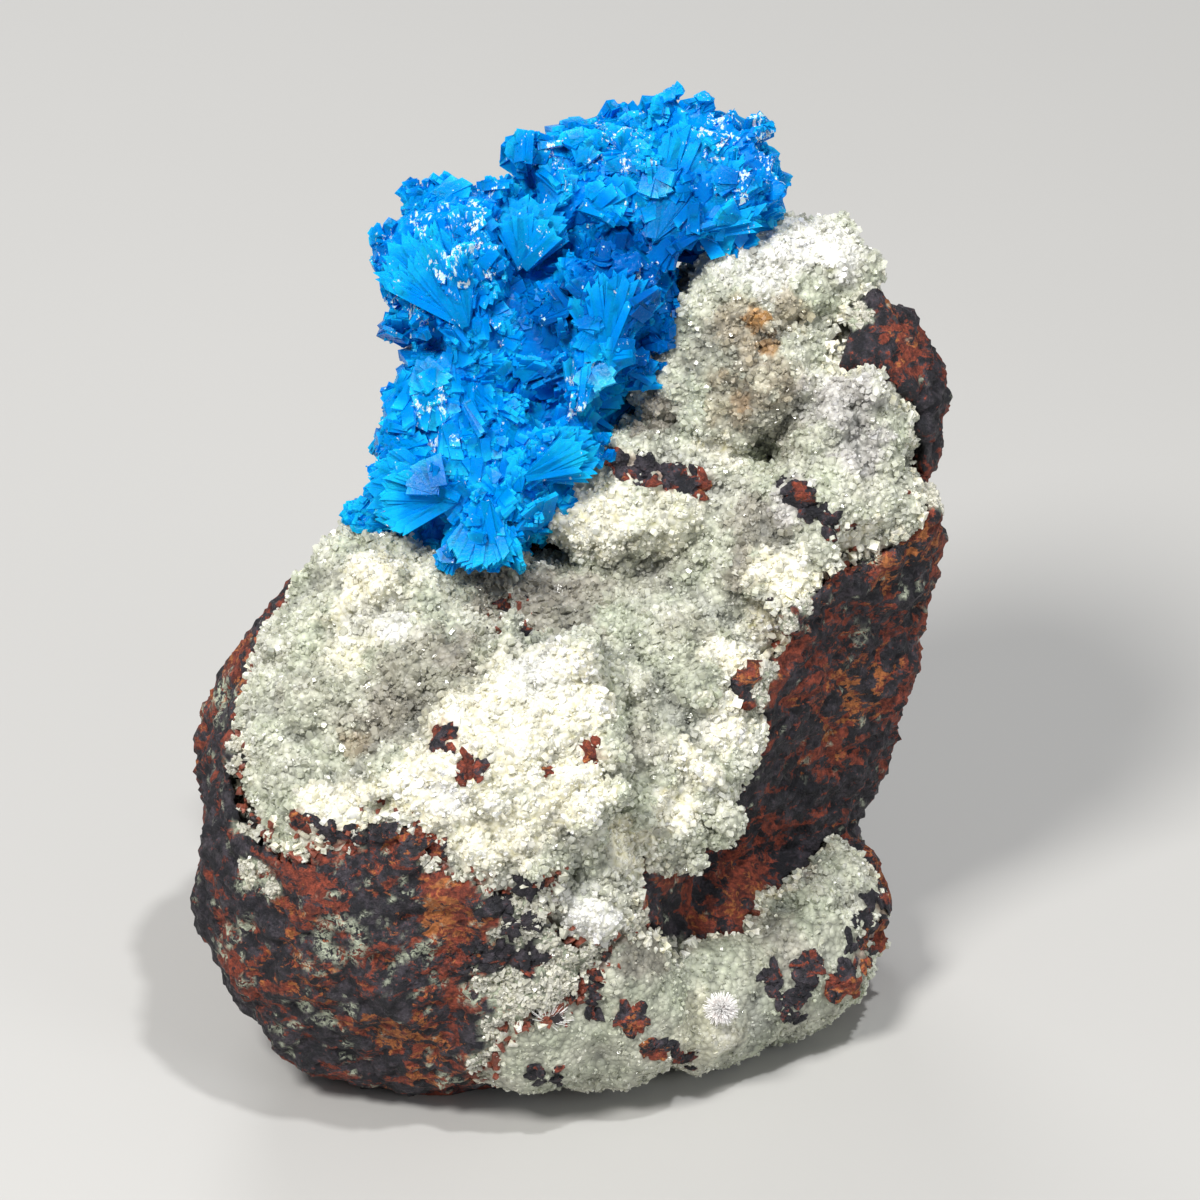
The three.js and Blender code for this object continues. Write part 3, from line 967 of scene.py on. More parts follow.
ZEOLITE_MARKS: tuple[tuple[Tint, tuple[Mark, ...]], ...] = (
    (
        # Grey marks darken the druse; in the valley, its hollows and creases, the hole beside the blue and
        # under the white tip they are painted shade.
        Tint.GREY_AND_SHADE,
        named_marks(
            left_mass_hollow=(430, 700, 4.5, 0.7),
            left_mass_middle=(330, 690, 3.0, 0.4),
            left_mass_crease=(470, 655, 2.0, 0.8),
            left_mass_foot=(380, 730, 2.4, 0.5),
            valley_right=(560, 610, 3.0, 0.8),
            upper_mass_low=(770, 420, 3.0, 0.7),
            upper_mass_middle=(720, 350, 3.0, 0.5),
            valley=(490, 590, 2.4, 0.9),
            valley_middle=(545, 585, 2.2, 0.8),
            foot_right=(770, 950, 2.6, 0.6),
            hole_beside_blue=(650, 410, 1.8, 1.0),
            under_ridge=(640, 560, 3.0, 0.4),
            right_hollow=(760, 530, 2.4, 0.8),
            right_crease=(745, 570, 1.6, 0.9),
            foot_middle=(700, 930, 3.4, 0.8),
            foot_under_tip=(640, 950, 2.4, 0.8),
            slope_top=(690, 640, 2.6, 0.5),
            slope_low=(650, 750, 2.4, 0.4),
            foot_left=(560, 990, 2.0, 0.5),
        ),
    ),
    (
        Tint.GREEN,
        named_marks(
            slope=(690, 700, 4.0, 0.45),
            slope_foot=(650, 810, 3.0, 0.4),
            behind_cream_ridge=(500, 640, 2.6, 0.5),
            foot=(740, 960, 4.0, 0.4),
        ),
    ),
    (
        Tint.CREAM,
        named_marks(
            left_lump=(370, 600, 3.2, 0.9),
            left_lump_low=(350, 640, 2.2, 0.6),
            ridge_top=(545, 700, 4.4),
            ridge_middle=(480, 750, 4.2),
            ridge_left=(420, 790, 3.8),
            ridge_left_end=(340, 810, 3.0),
            ridge_right=(560, 780, 3.4),
            ridge_low=(500, 840, 3.2),
            mound=(600, 520, 2.8, 0.9),
            mound_left=(560, 500, 2.4, 0.6),
            mound_right=(670, 520, 2.4, 0.5),
            edge_top=(785, 580, 2.6),
            edge_high=(770, 620, 2.2),
            edge_upper_middle=(740, 660, 2.4),
            edge_middle=(722, 720, 2.2),
            edge_lower_middle=(705, 765, 2.0),
            edge_low=(670, 805, 2.0),
            edge_foot=(630, 850, 2.2),
            right_shelf=(860, 540, 2.0, 0.8),
            right_corner=(925, 505, 2.0, 0.8),
            above_patch=(720, 455, 1.6, 0.7),
            beside_tuft=(700, 1035, 3.0, 0.5),
        ),
    ),
    (
        Tint.WHITE,
        named_marks(
            white_tip=(590, 925, 2.2),
            left_lump_spot=(400, 625, 1.4, 0.9),
            ridge_spot=(450, 800, 1.4, 0.8),
            white_tip_left=(560, 900, 1.4, 0.8),
            upper_top_left=(760, 262, 3.0, 0.7),
            upper_top_right=(830, 240, 3.0, 0.7),
            ridge_crest=(540, 670, 2.0, 0.8),
            mound_crest=(600, 440, 1.2, 0.8),
        ),
    ),
    (
        Tint.BROWN,
        named_marks(
            upper_mass=(745, 330, 2.2, 0.55),
            upper_mass_right=(765, 375, 2.4, 0.45),
            upper_mass_low=(725, 400, 1.8, 0.5),
            upper_mass_edge=(790, 315, 1.6, 0.6),
            left_mass_low=(355, 745, 1.2, 0.5),
        ),
    ),
    (
        Tint.LILAC,
        named_marks(
            right_lump=(840, 400, 2.6, 0.8),
            right_lump_low=(860, 450, 2.0, 0.8),
            right_shelf=(790, 500, 1.6, 0.7),
        ),
    ),
    (
        Tint.STAIN,
        named_marks(
            rust_top=(757, 320, 0.9, 0.9),
            rust_middle=(770, 345, 0.8, 0.7),
            rust_low=(740, 400, 0.7, 0.4),
        ),
    ),
    (
        Tint.RED,
        (
            *streak(start=(625, 466), end=(698, 486), radius=1.0, count=4),
            *named_marks(
                patch_tip=(613, 452, 0.5),
                ridge_bit_high=(440, 738, 1.1),
                ridge_bit_low=(466, 768, 0.8),
                ridge_bit_right=(592, 752, 0.8),
                ridge_bit_middle=(545, 772, 0.4),
                right_patch=(800, 495, 1.0, 0.9),
            ),
            *streak(start=(445, 962), end=(535, 960), radius=0.75, count=5),
            *streak(start=(300, 822), end=(350, 838), radius=0.8, count=3),
            *streak(start=(390, 832), end=(432, 850), radius=0.9, count=3),
            *streak(start=(850, 985), end=(885, 905), radius=1.0, count=4),
            *named_marks(
                foot_middle=(632, 1018, 1.0),
                foot_low=(655, 1050, 0.9),
                foot_right=(830, 985, 0.8),
                foot_edge=(875, 930, 1.1),
            ),
        ),
    ),
    (
        Tint.CHIP,
        (
            *streak(start=(645, 462), end=(688, 482), radius=0.6, count=4),
            *streak(start=(792, 498), end=(832, 524), radius=0.8, count=3),
            *named_marks(beside_right_patch=(850, 525, 0.35)),
            *streak(start=(868, 900), end=(850, 965), radius=0.7, count=4),
            *streak(start=(815, 960), end=(795, 1020), radius=0.6, count=4),
            *named_marks(
                broken_zone_top=(527, 889, 0.9),
                broken_zone_left=(497, 903, 0.9),
                broken_zone_low=(506, 935, 1.0),
                broken_zone_right=(530, 925, 0.7),
                foot_bar=(588, 985, 0.9),
                foot_stem=(594, 1010, 0.7),
                foot_corner=(535, 1070, 0.7),
                foot_corner_right=(556, 1075, 0.6),
                foot_low=(680, 1055, 0.8),
                foot_right_left=(775, 980, 0.9),
                foot_right_middle=(802, 975, 1.1),
                foot_right_low=(790, 1000, 0.7),
                foot_right_edge=(845, 970, 0.6),
            ),
        ),
    ),
)

COATED: tuple[Mark, ...] = (
    *named_marks(
        broken_zone_left=(500, 872, 1.3),
        broken_zone_top=(535, 900, 1.7),
        broken_zone_low=(515, 930, 1.2),
        beside_white_tip=(565, 915, 1.8),
        under_white_tip=(600, 952, 1.6),
        under_broken_zone=(560, 955, 1.5),
        right_of_white_tip=(635, 925, 1.2),
        above_foot=(632, 965, 1.4),
        under_tongue=(668, 955, 1.2),
        foot_left_top=(500, 985, 1.5),
        foot_left_high=(530, 1000, 1.7),
        foot_left_inner=(560, 985, 1.5),
        foot_left_edge=(505, 1030, 1.4),
        foot_left_middle=(545, 1025, 1.6),
        foot_left_low=(575, 1010, 1.4),
        foot_corner=(488, 1062, 1.2),
        left_border=(300, 825, 1.1, 0.8),
        left_border_right=(345, 838, 1.0, 0.7),
        border_middle=(430, 858, 0.9, 0.7),
        pale_patch=(250, 872, 0.9, 0.9),
        pale_patch_low=(270, 890, 0.6, 0.9),
        waist=(850, 870, 1.1, 0.8),
        right_corner=(945, 460, 1.1, 0.9),
        right_corner_low=(935, 495, 1.1, 0.9),
        slab_top=(855, 318, 0.8, 0.9),
    ),
    *streak(start=(815, 560), end=(760, 690), radius=0.75, count=7),
    *streak(start=(752, 710), end=(660, 862), radius=0.7, count=8),
    *streak(start=(238, 745), end=(246, 830), radius=0.7, count=5),
)

BASALT_PALE: tuple[Mark, ...] = (
    *named_marks(
        patch_left=(245, 880, 0.8),
        patch=(268, 885, 1.2),
        vein_top=(228, 930, 0.5),
        vein_middle=(222, 945, 0.5),
        vein_low=(215, 965, 0.6),
        left_belly=(240, 985, 0.5),
        beside_ring=(420, 950, 1.0),
        belly=(330, 1020, 0.8),
        belly_right=(350, 1010, 0.6),
        belly_left=(305, 1005, 0.6),
        beside_foot=(470, 995, 0.9),
        under_foot=(445, 1080, 0.8),
        shoulder=(226, 690, 1.1),
        shoulder_low=(218, 715, 0.9),
        left_edge=(190, 860, 1.3),
        left_edge_low=(183, 880, 1.0),
        low_left=(255, 1045, 0.8),
        low_left_end=(290, 1075, 0.8),
        wall=(860, 632, 0.7),
        wall_top=(872, 560, 0.7),
    ),
    *streak(start=(188, 840), end=(184, 905), radius=0.8, count=4),
    *streak(start=(205, 985), end=(300, 1078), radius=0.6, count=9),
    *streak(start=(203, 715), end=(226, 682), radius=0.7, count=3),
    *streak(start=(222, 955), end=(248, 918), radius=0.4, count=5),
    *streak(start=(300, 960), end=(320, 975), radius=0.45, count=3),
    *streak(start=(280, 1030), end=(330, 1018), radius=0.45, count=4),
)

BASALT_RUSTY: tuple[Mark, ...] = named_marks(
    shoulder=(240, 660, 3.6),
    wall_middle=(750, 700, 3.0, 0.8),
    wall_low=(700, 830, 2.8),
    tongue_left=(670, 860, 2.2),
    wall_top=(900, 560, 2.8, 0.8),
    under_broken_zone=(470, 925, 2.4),
    broken_zone=(450, 900, 2.2),
    under_foot=(440, 1070, 3.6),
    under_foot_right=(480, 1090, 2.2),
    belly_low=(400, 1030, 2.4, 0.8),
    wall_right=(860, 700, 3.0, 0.6),
    foot_edge=(885, 930, 2.0),
    slab_top=(850, 335, 2.4, -0.8),
    slab_middle=(885, 375, 3.0, -1.0),
    slab_low=(905, 430, 3.0, -0.8),
    left_wall=(235, 760, 2.6, -0.4),
    tongue=(740, 885, 2.6),
    tongue_right=(800, 880, 2.2),
    tongue_end=(690, 905, 2.0),
    belly_top=(300, 900, 3.0, 0.4),
)


# Where painted glints gather on the blue: pale flecks that stand in for light glinting off the blades.
PAINTED_GLINTS: tuple[Mark, ...] = named_marks(
    left_lump=(440, 265, 3.4),
    left_lump_low=(415, 305, 2.0),
    left_lump_top=(432, 222, 1.8),
    left_lump_right=(480, 205, 1.2),
    middle_top=(548, 155, 1.4),
    middle=(552, 208, 1.0),
    top=(620, 140, 1.8),
    top_right=(715, 135, 2.4),
    right_end=(760, 165, 1.8),
    right_low=(735, 195, 1.0),
    shadow_edge=(650, 268, 1.2),
    waist=(430, 390, 1.4),
    left_edge=(376, 372, 1.4),
    low_middle=(430, 440, 0.9),
    low_right=(463, 440, 0.8),
    beside_mound=(576, 408, 1.4),
    drooping_tip=(520, 540, 0.8),
)

# Painted shade on the blue where a mark's strength is positive, painted light where it is negative.
PAINTED_SHADE_AND_LIGHT: tuple[Mark, ...] = named_marks(
    smooth_middle=(548, 285, 4.2, 0.42),
    smooth_middle_low=(600, 330, 2.6, 0.4),
    shadow=(650, 300, 3.8, 0.9),
    shadow_low=(662, 345, 2.6, 0.9),
    smooth_right=(700, 215, 4.4, 0.25),
    low_left=(420, 505, 2.4, 0.4),
    waist=(480, 400, 1.6, 0.35),
    left_crease=(440, 345, 1.8, 0.4),
    light_petal=(590, 350, 1.7, -0.5),
    low_middle=(470, 480, 2.6, -0.25),
    pale_blade=(680, 110, 2.2, -0.5),
    left_low_edge=(385, 470, 2.2, -0.3),
    middle_low=(500, 430, 2.6, -0.3),
)


def tint_of(tree: BVHTree, points: np.ndarray) -> tuple[np.ndarray, np.ndarray]:
    """The zeolite's colour at each point.

    Args:
        tree: the zeolite's surface.
        points: the points, in millimetres.

    Returns:
        A colour for each point, and how much of it is a chip of basalt.
    """
    mottle = np.array([noise.fractal(Vector(p) / 3.2, 0.8, 2.0, 3) for p in points])
    share = np.clip(0.5 + 0.9 * mottle, 0, 1)[:, None]
    colours = (1 - share) * np.array(Tint.GREEN.value) + share * np.array(Tint.CLEAR.value)
    rock = np.zeros(len(points))
    for tint, spots in ZEOLITE_MARKS:
        for mark in spots:
            weight = mark.weights(tree, points)
            share = weight * 0.5 if tint in (Tint.CHIP, Tint.RED) else weight
            colours += share[:, None] * (np.array(tint.value) - colours)
            if tint in (Tint.CHIP, Tint.RED):
                rock = np.maximum(rock, weight)
    return colours, rock


def strength_at(tree: BVHTree, spots: Sequence[Mark], points: np.ndarray, total: bool) -> np.ndarray:
    """How strongly soft marks act at each point.

    Args:
        tree: the surface that the picture points land on.
        spots: the marks.
        points: the points, in millimetres.
        total: whether marks add up. Otherwise the strongest counts.

    Returns:
        A number for each point.
    """
    found = np.zeros(len(points))
    for mark in spots:
        hit = VIEW.land(tree, mark.across, mark.down)
        if hit is None:
            continue
        away = np.linalg.norm(points - np.array(hit) / MM, axis=1) / mark.radius
        share = mark.strength * np.clip(1.5 - away, 0, 1)
        found = found + share if total else np.maximum(found, share)
    return found


# ---------------------------------------------------------------- the minerals


@dataclass
class BasaltMatrix:
    """The lump of basalt: rough, pitted, grooved along its right wall.

    Lengths are in millimetres. The ring's place is a picture point. The rim is where the basalt rises beside
    the druse: how high, how wide, from what height up, and how far it looks out for druse that covers it.
    """

    node: str = "basalt_matrix"
    voxel: float = 0.34
    swell: float = 0.40
    rough: float = 0.42
    pit: float = 0.35
    pit_edge: float = 0.34
    groove: float = 0.30
    rim: float = 0.75
    rim_width: float = 1.9
    rim_from: float = 1.5
    look_out: float = 8.0
    ring_at: tuple[float, float] = (340.0, 940.0)
    ring_radius: float = 1.25
    ring_width: float = 0.55
    flat_foot: float = 0.35
    finish: BasaltFinish = field(default_factory=BasaltFinish)

    def relief(self, place: Vector) -> float:
        """How far the surface stands out: swells, roughness, the right wall's grooves and pits.

        Args:
            place: the point, in millimetres.

        Returns:
            The height in millimetres.
        """
        height = self.swell * noise.noise(place / 4.5)
        height += self.rough * noise.fractal(place / 1.5, 0.55, 2.1, 5)
        wall = min(1.0, max(0.0, (place.x - 6.0) / 4.0))
        drawn = Vector((place.x / 7, place.y / 7, place.z / 0.9 + place.x / 4))
        height += wall * self.groove * noise.noise(drawn)
        near, spots = noise.voronoi(place / 1.5)
        hollow = noise.cell(spots[0] * 7.3)
        if hollow > 0.45 and near[0] < self.pit_edge:
            height -= self.pit * (1 - (near[0] / self.pit_edge) ** 2)
        return height

    def build(self) -> bpy.types.Object:
        """Makes the lump.

        Returns:
            The piece.
        """
        piece = even_skin(self.node, "basalt", self.voxel)
        mesh = piece.data
        points, normals = points_of(mesh), normals_of(mesh)
        heights = np.array([self.relief(Vector(p)) for p in points])
        heights[points[:, 2] < self.flat_foot] = 0.0
        crust = tree_of(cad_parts["zeolite_druse"])
        gaps = nearest_points(crust, points)[1]
        bare = (points[:, 2] > self.rim_from) & ~covered(crust, points, normals, self.look_out)
        heights += self.rim * np.clip(1.0 - gaps / self.rim_width, 0.0, 1.0) * bare
        moved = points + normals * heights[:, None]
        moved[:, 2] = np.maximum(moved[:, 2], 0.0)
        move_points(mesh, moved)
        tree = tree_of(piece)
        store(mesh, "pale", self.pale(tree, moved))
        rusty = np.zeros(len(moved))
        for mark in BASALT_RUSTY:
            rusty = np.clip(rusty + mark.weights(tree, moved, 0.6), -1, 1)
        store(mesh, "rusty", rusty)
        finish_piece(piece, self.finish.paint(), self.node, True)
        return piece

    def pale(self, tree: BVHTree, points: np.ndarray) -> np.ndarray:
        """Where pale zeolite shows in the basalt: named veins, one ring, and scattered specks.

        Args:
            tree: the basalt's faces.
            points: the points, in millimetres.

        Returns:
            A number from 0 to 1 for each point.
        """
        found = np.zeros(len(points))
        for mark in BASALT_PALE:
            found = np.maximum(found, mark.weights(tree, points, 0.8))
        ring = VIEW.land(tree, *self.ring_at)
        if ring is not None:
            away = np.linalg.norm(points - np.array(ring) / MM, axis=1) - self.ring_radius
            found = np.maximum(found, np.clip(1.3 - np.abs(away) / self.ring_width, 0, 1))
        for i, point in enumerate(points):
            thick = 0.57 - 0.22 * noise.noise(Vector(point) / 6.0) + 0.13 * (point[0] > 0)
            speck = noise.fractal(Vector(point) / 0.8, 0.7, 2.0, 3)
            if speck > thick:
                found[i] = max(found[i], min(1.0, (speck - thick) * 9))
        return found


@dataclass
class ZeoliteDruse:
    """The druse: knobbly ground, thousands of small tabular crystals, and chips of basalt in it.

    Lengths are in millimetres. Crystals, grit, rubble and coat tries are counts before those are left out
    that would stand under the basalt, on a chip, out of view or where there is no coat.
    """

    node: str = "zeolite_druse"
    voxel: float = 0.29
    big_knob: float = 0.95
    big_knob_size: float = 2.9
    small_knob: float = 0.42
    small_knob_size: float = 1.15
    grain: float = 0.16
    foot_relief: float = 0.45
    tuft_hollow: float = 0.25
    weld: float = 1.7
    foot_top: float = 13.0
    tuft_at: Point = (8.87, -13.5, 6.7)
    crystals: int = 34000
    grit: int = 24000
    rubble: int = 30000
    coat_tries: int = 200000
    seam_width: float = 1.5
    tuft_clear: float = 1.15
    foot_share: float = 0.6
    foot_size: float = 0.72
    chips_each: int = 9
    chip_drift: float = 0.42
    brightest: float = 0.98
    piece_limit: int = 190000
    finish: ZeoliteFinish = field(default_factory=ZeoliteFinish)
    crystal_finish: ZeoliteFinish = ZeoliteFinish(
        "zeolite_crystal", roughness=0.12, clearness=0.12, under=0.45, under_scale=0.4, creases=0.3, depth=0.3
    )

    def relief(self, place: Vector) -> float:
        """How far the ground stands out: large and small knobs and grain, low on the foot and at the tuft.

        Args:
            place: the point, in millimetres.

        Returns:
            The height in millimetres.
        """
        warped = place + 0.6 * noise.noise_vector(place / 2.0)
        height = self.big_knob * knobs(warped, self.big_knob_size)
        height += self.small_knob * knobs(warped + Vector((9, 4, 2)), self.small_knob_size)
        height += self.grain * noise.fractal(place / 0.6, 0.7, 2.0, 3)
        height *= self.foot_relief if self.on_foot(place) else 1.0
        from_tuft = (place - Vector(self.tuft_at)).length
        if from_tuft < 1.0:
            return height - self.tuft_hollow
        return height * min(1.0, 0.2 + (from_tuft - 1.0) / 1.2)

    def on_foot(self, place: Sequence[float]) -> bool:
        """Whether a place in millimetres is on the thin sheet that coats the foot."""
        return place[2] < self.foot_top and place[1] < -6.0

    def build(self, lump: bpy.types.Object) -> tuple[BVHTree, BVHTree]:
        """Makes the ground and its crystals.

        Args:
            lump: the basalt, which no crystal grows under.

        Returns:
            The ground's faces, and those of the ground and the basalt together.
        """
        rock = tree_of(lump)
        ground = even_skin(self.node, "druse_ground", self.voxel)
        mesh = ground.data
        points, normals = points_of(mesh), normals_of(mesh)
        heights = np.array([self.relief(Vector(p)) for p in points])
        gaps = nearest_points(rock, points)[1]
        inner = np.clip((gaps - 0.3) / 1.6, 0.0, 1.0)
        moved = points + normals * (0.1 + (heights + 0.05) * (0.25 + 0.75 * inner))[:, None]
        nearest, gaps = nearest_points(rock, moved)
        share = np.clip(1.0 - gaps / self.weld, 0.0, 1.0) * (gaps + 0.2) / np.maximum(gaps, 0.02)
        moved += (nearest - moved) * np.minimum(share, 1.5)[:, None]
        moved[:, 2] = np.maximum(moved[:, 2], 0.02)
        move_points(mesh, moved)
        tree = tree_of(ground)
        tints, chips = self.colours(tree, moved, rock)
        store_colour(mesh, "tint", tints)
        finish_piece(ground, self.finish.paint(), self.node, True)
        self.grow(mesh, tree, rock, "druse_crystals", self.crystals, self.tablet(), 3)
        self.grow(mesh, tree, rock, "druse_grit", self.grit, self.grain_seed(), 4)
        self.strew_rubble(mesh, rock)
        outside = tree_of_mesh(mesh, lump.data)
        self.coat(lump.data, outside)
        self.set_chips(outside)
        return tree, outside

    def colours(
        self, tree: BVHTree, points: np.ndarray, rock: BVHTree
    ) -> tuple[np.ndarray, np.ndarray]:
        """The druse's colours: named areas, with painted shade that makes them darker and greyer in the
        creases and lighter on the knobs, broken up with rock along its border.

        Args:
            tree: the ground's faces.
            points: where the colours are wanted, in millimetres.
            rock: the basalt's faces.

        Returns:
            A colour for each point, and how much of it is basalt.
        """
        colours, chips = tint_of(tree, points)
        # Painted shade: the lower a point lies in the relief, the darker and greyer it is, and the higher,
        # the lighter.
        lift = np.array([self.relief(Vector(p)) for p in points])
        shade = 0.60 + 0.42 * np.clip(0.55 + lift / 1.1, 0, 1)
        grey = colours.mean(axis=1, keepdims=True) * np.array([[0.98, 1.0, 0.94]])
        depth = np.clip(-lift / 0.5, 0, 1)[:, None]
        colours = colours * (1 - 0.5 * depth) + grey * 0.5 * depth
        colours = colours * shade[:, None] * self.silk(points)[:, None]
        gaps = nearest_points(rock, points)[1]
        broken = np.array([noise.fractal(Vector(p) / 1.1, 0.7, 2.0, 3) for p in points])
        edge = np.clip((broken - 0.05) * 5, 0, 1) * np.clip(1.4 - gaps / 0.7, 0, 1)
        edge *= np.where(points[:, 0] < 2.0, 0.95, 0.3) * (points[:, 2] < 21.0)
        colours += edge[:, None] * (np.array(Tint.RED.value) * 0.8 - colours)
        return colours, np.maximum(chips, edge)

    def silk(self, points: np.ndarray) -> np.ndarray:
        """How light the sheet on the foot is: a little darker, with fine streaks up its right side.

        Args:
            points: the points, in millimetres.

        Returns:
            A factor for each point, 1 where it isn't on the foot.
        """
        levels = np.ones(len(points))
        for i, (x, y, z) in enumerate(points):
            if self.on_foot(points[i]):
                across, up = 0.94 * x - 0.33 * z, 0.33 * x + 0.94 * z
                strand = noise.noise(Vector((across / 0.5, y / 3.0, up / 5.0)))
                levels[i] = 0.84 + (0.5 if x > 8.0 else 0.2) * strand
        return levels

    def strew_rubble(self, mesh: bpy.types.Mesh, rock: BVHTree) -> None:
        """Grains of zeolite and rock in the seam between the druse and the basalt.

        Args:
            mesh: the ground.
            rock: the basalt's faces.
        """
        roll = np.random.default_rng(8)
        spots, facing = scatter(mesh, self.rubble, roll)
        nearest, gaps = nearest_points(rock, spots)
        kept = (gaps < self.seam_width) & (spots[:, 2] > 0.6)
        spots, nearest, facing = spots[kept], nearest[kept], facing[kept]
        in_view = seen((rock, tree_of_mesh(mesh)), spots * 0.5 + nearest * 0.5)
        spots, nearest, facing = spots[in_view], nearest[in_view], facing[in_view]
        number = len(spots)
        share = roll.random(number)[:, None]
        spots = spots * (1 - share) + nearest * share
        # How much there is of each kind, in the right part of the seam and in the left.
        kinds = (Tint.CREAM, Tint.CLEAR, Tint.RED, Tint.CHIP)
        right = np.array([0.62, 0.26, 0.08, 0.04])
        left = np.array([0.30, 0.24, 0.28, 0.18])
        wander = np.array([noise.noise(Vector(p) / 1.6) for p in spots])
        luck = np.clip(roll.random(number) * 0.55 + 0.45 * (0.5 + wander), 0, 0.999)
        edges = np.where((spots[:, 0] > 3.0)[:, None], np.cumsum(right)[None], np.cumsum(left)[None])
        chosen = (luck[:, None] >= edges[:, :3]).sum(axis=1)
        tints = np.array([kind.value for kind in kinds])[chosen]
        tints = tints * (0.7 + 0.5 * roll.random(number))[:, None]
        span = 0.28 + 0.55 * roll.random(number) ** 2.0
        sizes = uneven(span, (0.7, 0.5), (0.6, 0.5), roll)
        turns = turned(leaning(facing, 1.0, roll), roll.random(number) * 2 * math.pi)
        tints = np.clip(tints, 0, self.brightest)
        paint = ZeoliteFinish("zeolite_rubble", roughness=0.5).paint()
        self.lay("seam_rubble", self.grain_seed(), (spots, turns, sizes, tints), paint)

    def coat(self, rock: bpy.types.Mesh, outside: BVHTree) -> None:
        """Small crystals straight on the basalt, where the druse runs out thin.

        Args:
            rock: the basalt.
            outside: the faces of the basalt and the ground, which the picture points land on.
        """
        roll = np.random.default_rng(10)
        spots, facing = scatter(rock, self.coat_tries, roll)
        kept = self.coated(outside, spots) > 0.45 + 0.2 * roll.random(len(spots))
        store(rock, "coat", np.clip((self.coated(outside, points_of(rock)) - 0.4) * 5, 0, 1))
        spots, facing = spots[kept], facing[kept]
        number = len(spots)
        span = 0.22 + 0.28 * roll.random(number) ** 2
        sizes = uneven(span, (0.9, 0.6), (0.8, 0.4), roll)
        warm = (0.5 + 0.5 * np.array([noise.noise(Vector(p) / 2.0) for p in spots]))[:, None]
        tints = warm * np.array(Tint.CREAM.value) + (1 - warm) * np.array(Tint.CLEAR.value)
        tints = np.clip(tints * (0.66 + 0.38 * roll.random(number))[:, None], 0, self.brightest)
        turns = turned(leaning(facing, 0.9, roll), roll.random(number) * 2 * math.pi)
        rows = (spots, turns, sizes, tints)
        self.lay("thin_coat", self.grain_seed(), rows, self.crystal_finish.paint())

    @staticmethod
    def coated(outside: BVHTree, points: np.ndarray) -> np.ndarray:
        """How thickly small crystals coat the basalt.

        Args:
            outside: the faces of the basalt and the ground.
            points: the points, in millimetres.

        Returns:
            A number for each point, over about a half where it is coated.
        """
        share = strength_at(outside, COATED, points, False)
        broken = [
            noise.fractal(Vector(p) / 0.9, 0.7, 2.0, 3) if k > 0 else 0.0 for p, k in zip(points, share)
        ]
        return share + 0.6 * np.array(broken)

    def set_chips(self, tree: BVHTree) -> None:
        """Chips of basalt that the druse has grown round.

        Args:
            tree: the faces of the ground and the basalt.
        """
        roll = np.random.default_rng(9)
        places, turns, sizes, reds = [], [], [], []
        rocky = [(tint, spots) for tint, spots in ZEOLITE_MARKS if tint in (Tint.CHIP, Tint.RED)]
        for tint, mark in [(tint, mark) for tint, spots in rocky for mark in spots]:
            for _ in range(self.chips_each):
                drift = roll.normal(size=2) * self.chip_drift * mark.radius / VIEW.pixel
                hit = VIEW.land(tree, mark.across + drift[0], mark.down + drift[1])
                if hit is None:
                    continue
                facing = np.array(tree.find_nearest(hit)[1])
                span = mark.radius * (0.35 + 0.4 * roll.random())
                places.append(np.array(hit) / MM)
                tipped = leaning(facing[None], 0.14, roll)
                turns.append(turned(tipped, np.array([roll.random() * 6.28]))[0])
                long, wide = span * (0.8 + 0.8 * roll.random()), span * (0.6 + 0.3 * roll.random())
                sizes.append((long, wide, 0.10 * span + 0.11))
                reds.append(0.15 if tint is Tint.RED else -0.7)
        levels = {"rusty": np.array(reds), "pale": np.zeros(len(reds))}
        piece = crowd("basalt_chips", self.chip(), np.array(places), np.array(turns), np.array(sizes), levels)
        finish_piece(piece, BasaltFinish().paint(), self.node, False)

    @staticmethod
    def chip() -> Seed:
        """An angular chip of rock, about two units across.

        Returns:
            Its points and faces.
        """

        def build(shape: bmesh.types.BMesh) -> None:
            """A ball of few faces, dented unevenly.

            Args:
                shape: the empty mesh that it is made in.
            """
            bmesh.ops.create_uvsphere(shape, u_segments=8, v_segments=5, radius=1.0)
            for v in shape.verts:
                dents = 0.45 * noise.noise(v.co * 1.9 + Vector((3, 1, 7)))
                v.co *= 1.0 + dents + 0.2 * noise.noise(v.co * 4.0)

        return Seed.grown(build)

    @staticmethod
    def tablet() -> Seed:
        """A coffin-shaped tabular crystal of heulandite.

        Returns:
            Its points and faces.
        """

        def build(shape: bmesh.types.BMesh) -> None:
            """A six-sided outline on edge, given its thickness.

            Args:
                shape: the empty mesh that it is made in.
            """
            made = bmesh.ops.create_circle(shape, cap_ends=True, segments=6, radius=0.5)
            bmesh.ops.scale(shape, verts=made["verts"], vec=(0.7, 1.0, 1.0))
            bmesh.ops.rotate(shape, verts=shape.verts, matrix=Matrix.Rotation(math.pi / 2, 3, "X"))
            grown = bmesh.ops.extrude_face_region(shape, geom=shape.faces[:])
            far = [v for v in grown["geom"] if isinstance(v, bmesh.types.BMVert)]
            bmesh.ops.translate(shape, verts=far, vec=(0, 0.34, 0))
            bmesh.ops.translate(shape, verts=shape.verts, vec=(0, -0.17, 0.3))

        return Seed.grown(build)

    @staticmethod
    def grain_seed() -> Seed:
        """A blocky grain with a pointed end.

        Returns:
            Its points and faces.
        """

        def build(shape: bmesh.types.BMesh) -> None:
            """A four-sided cone, cut off."""
            bmesh.ops.create_cone(shape, cap_ends=True, segments=4, radius1=0.5, radius2=0.22, depth=1.0)

        return Seed.grown(build)

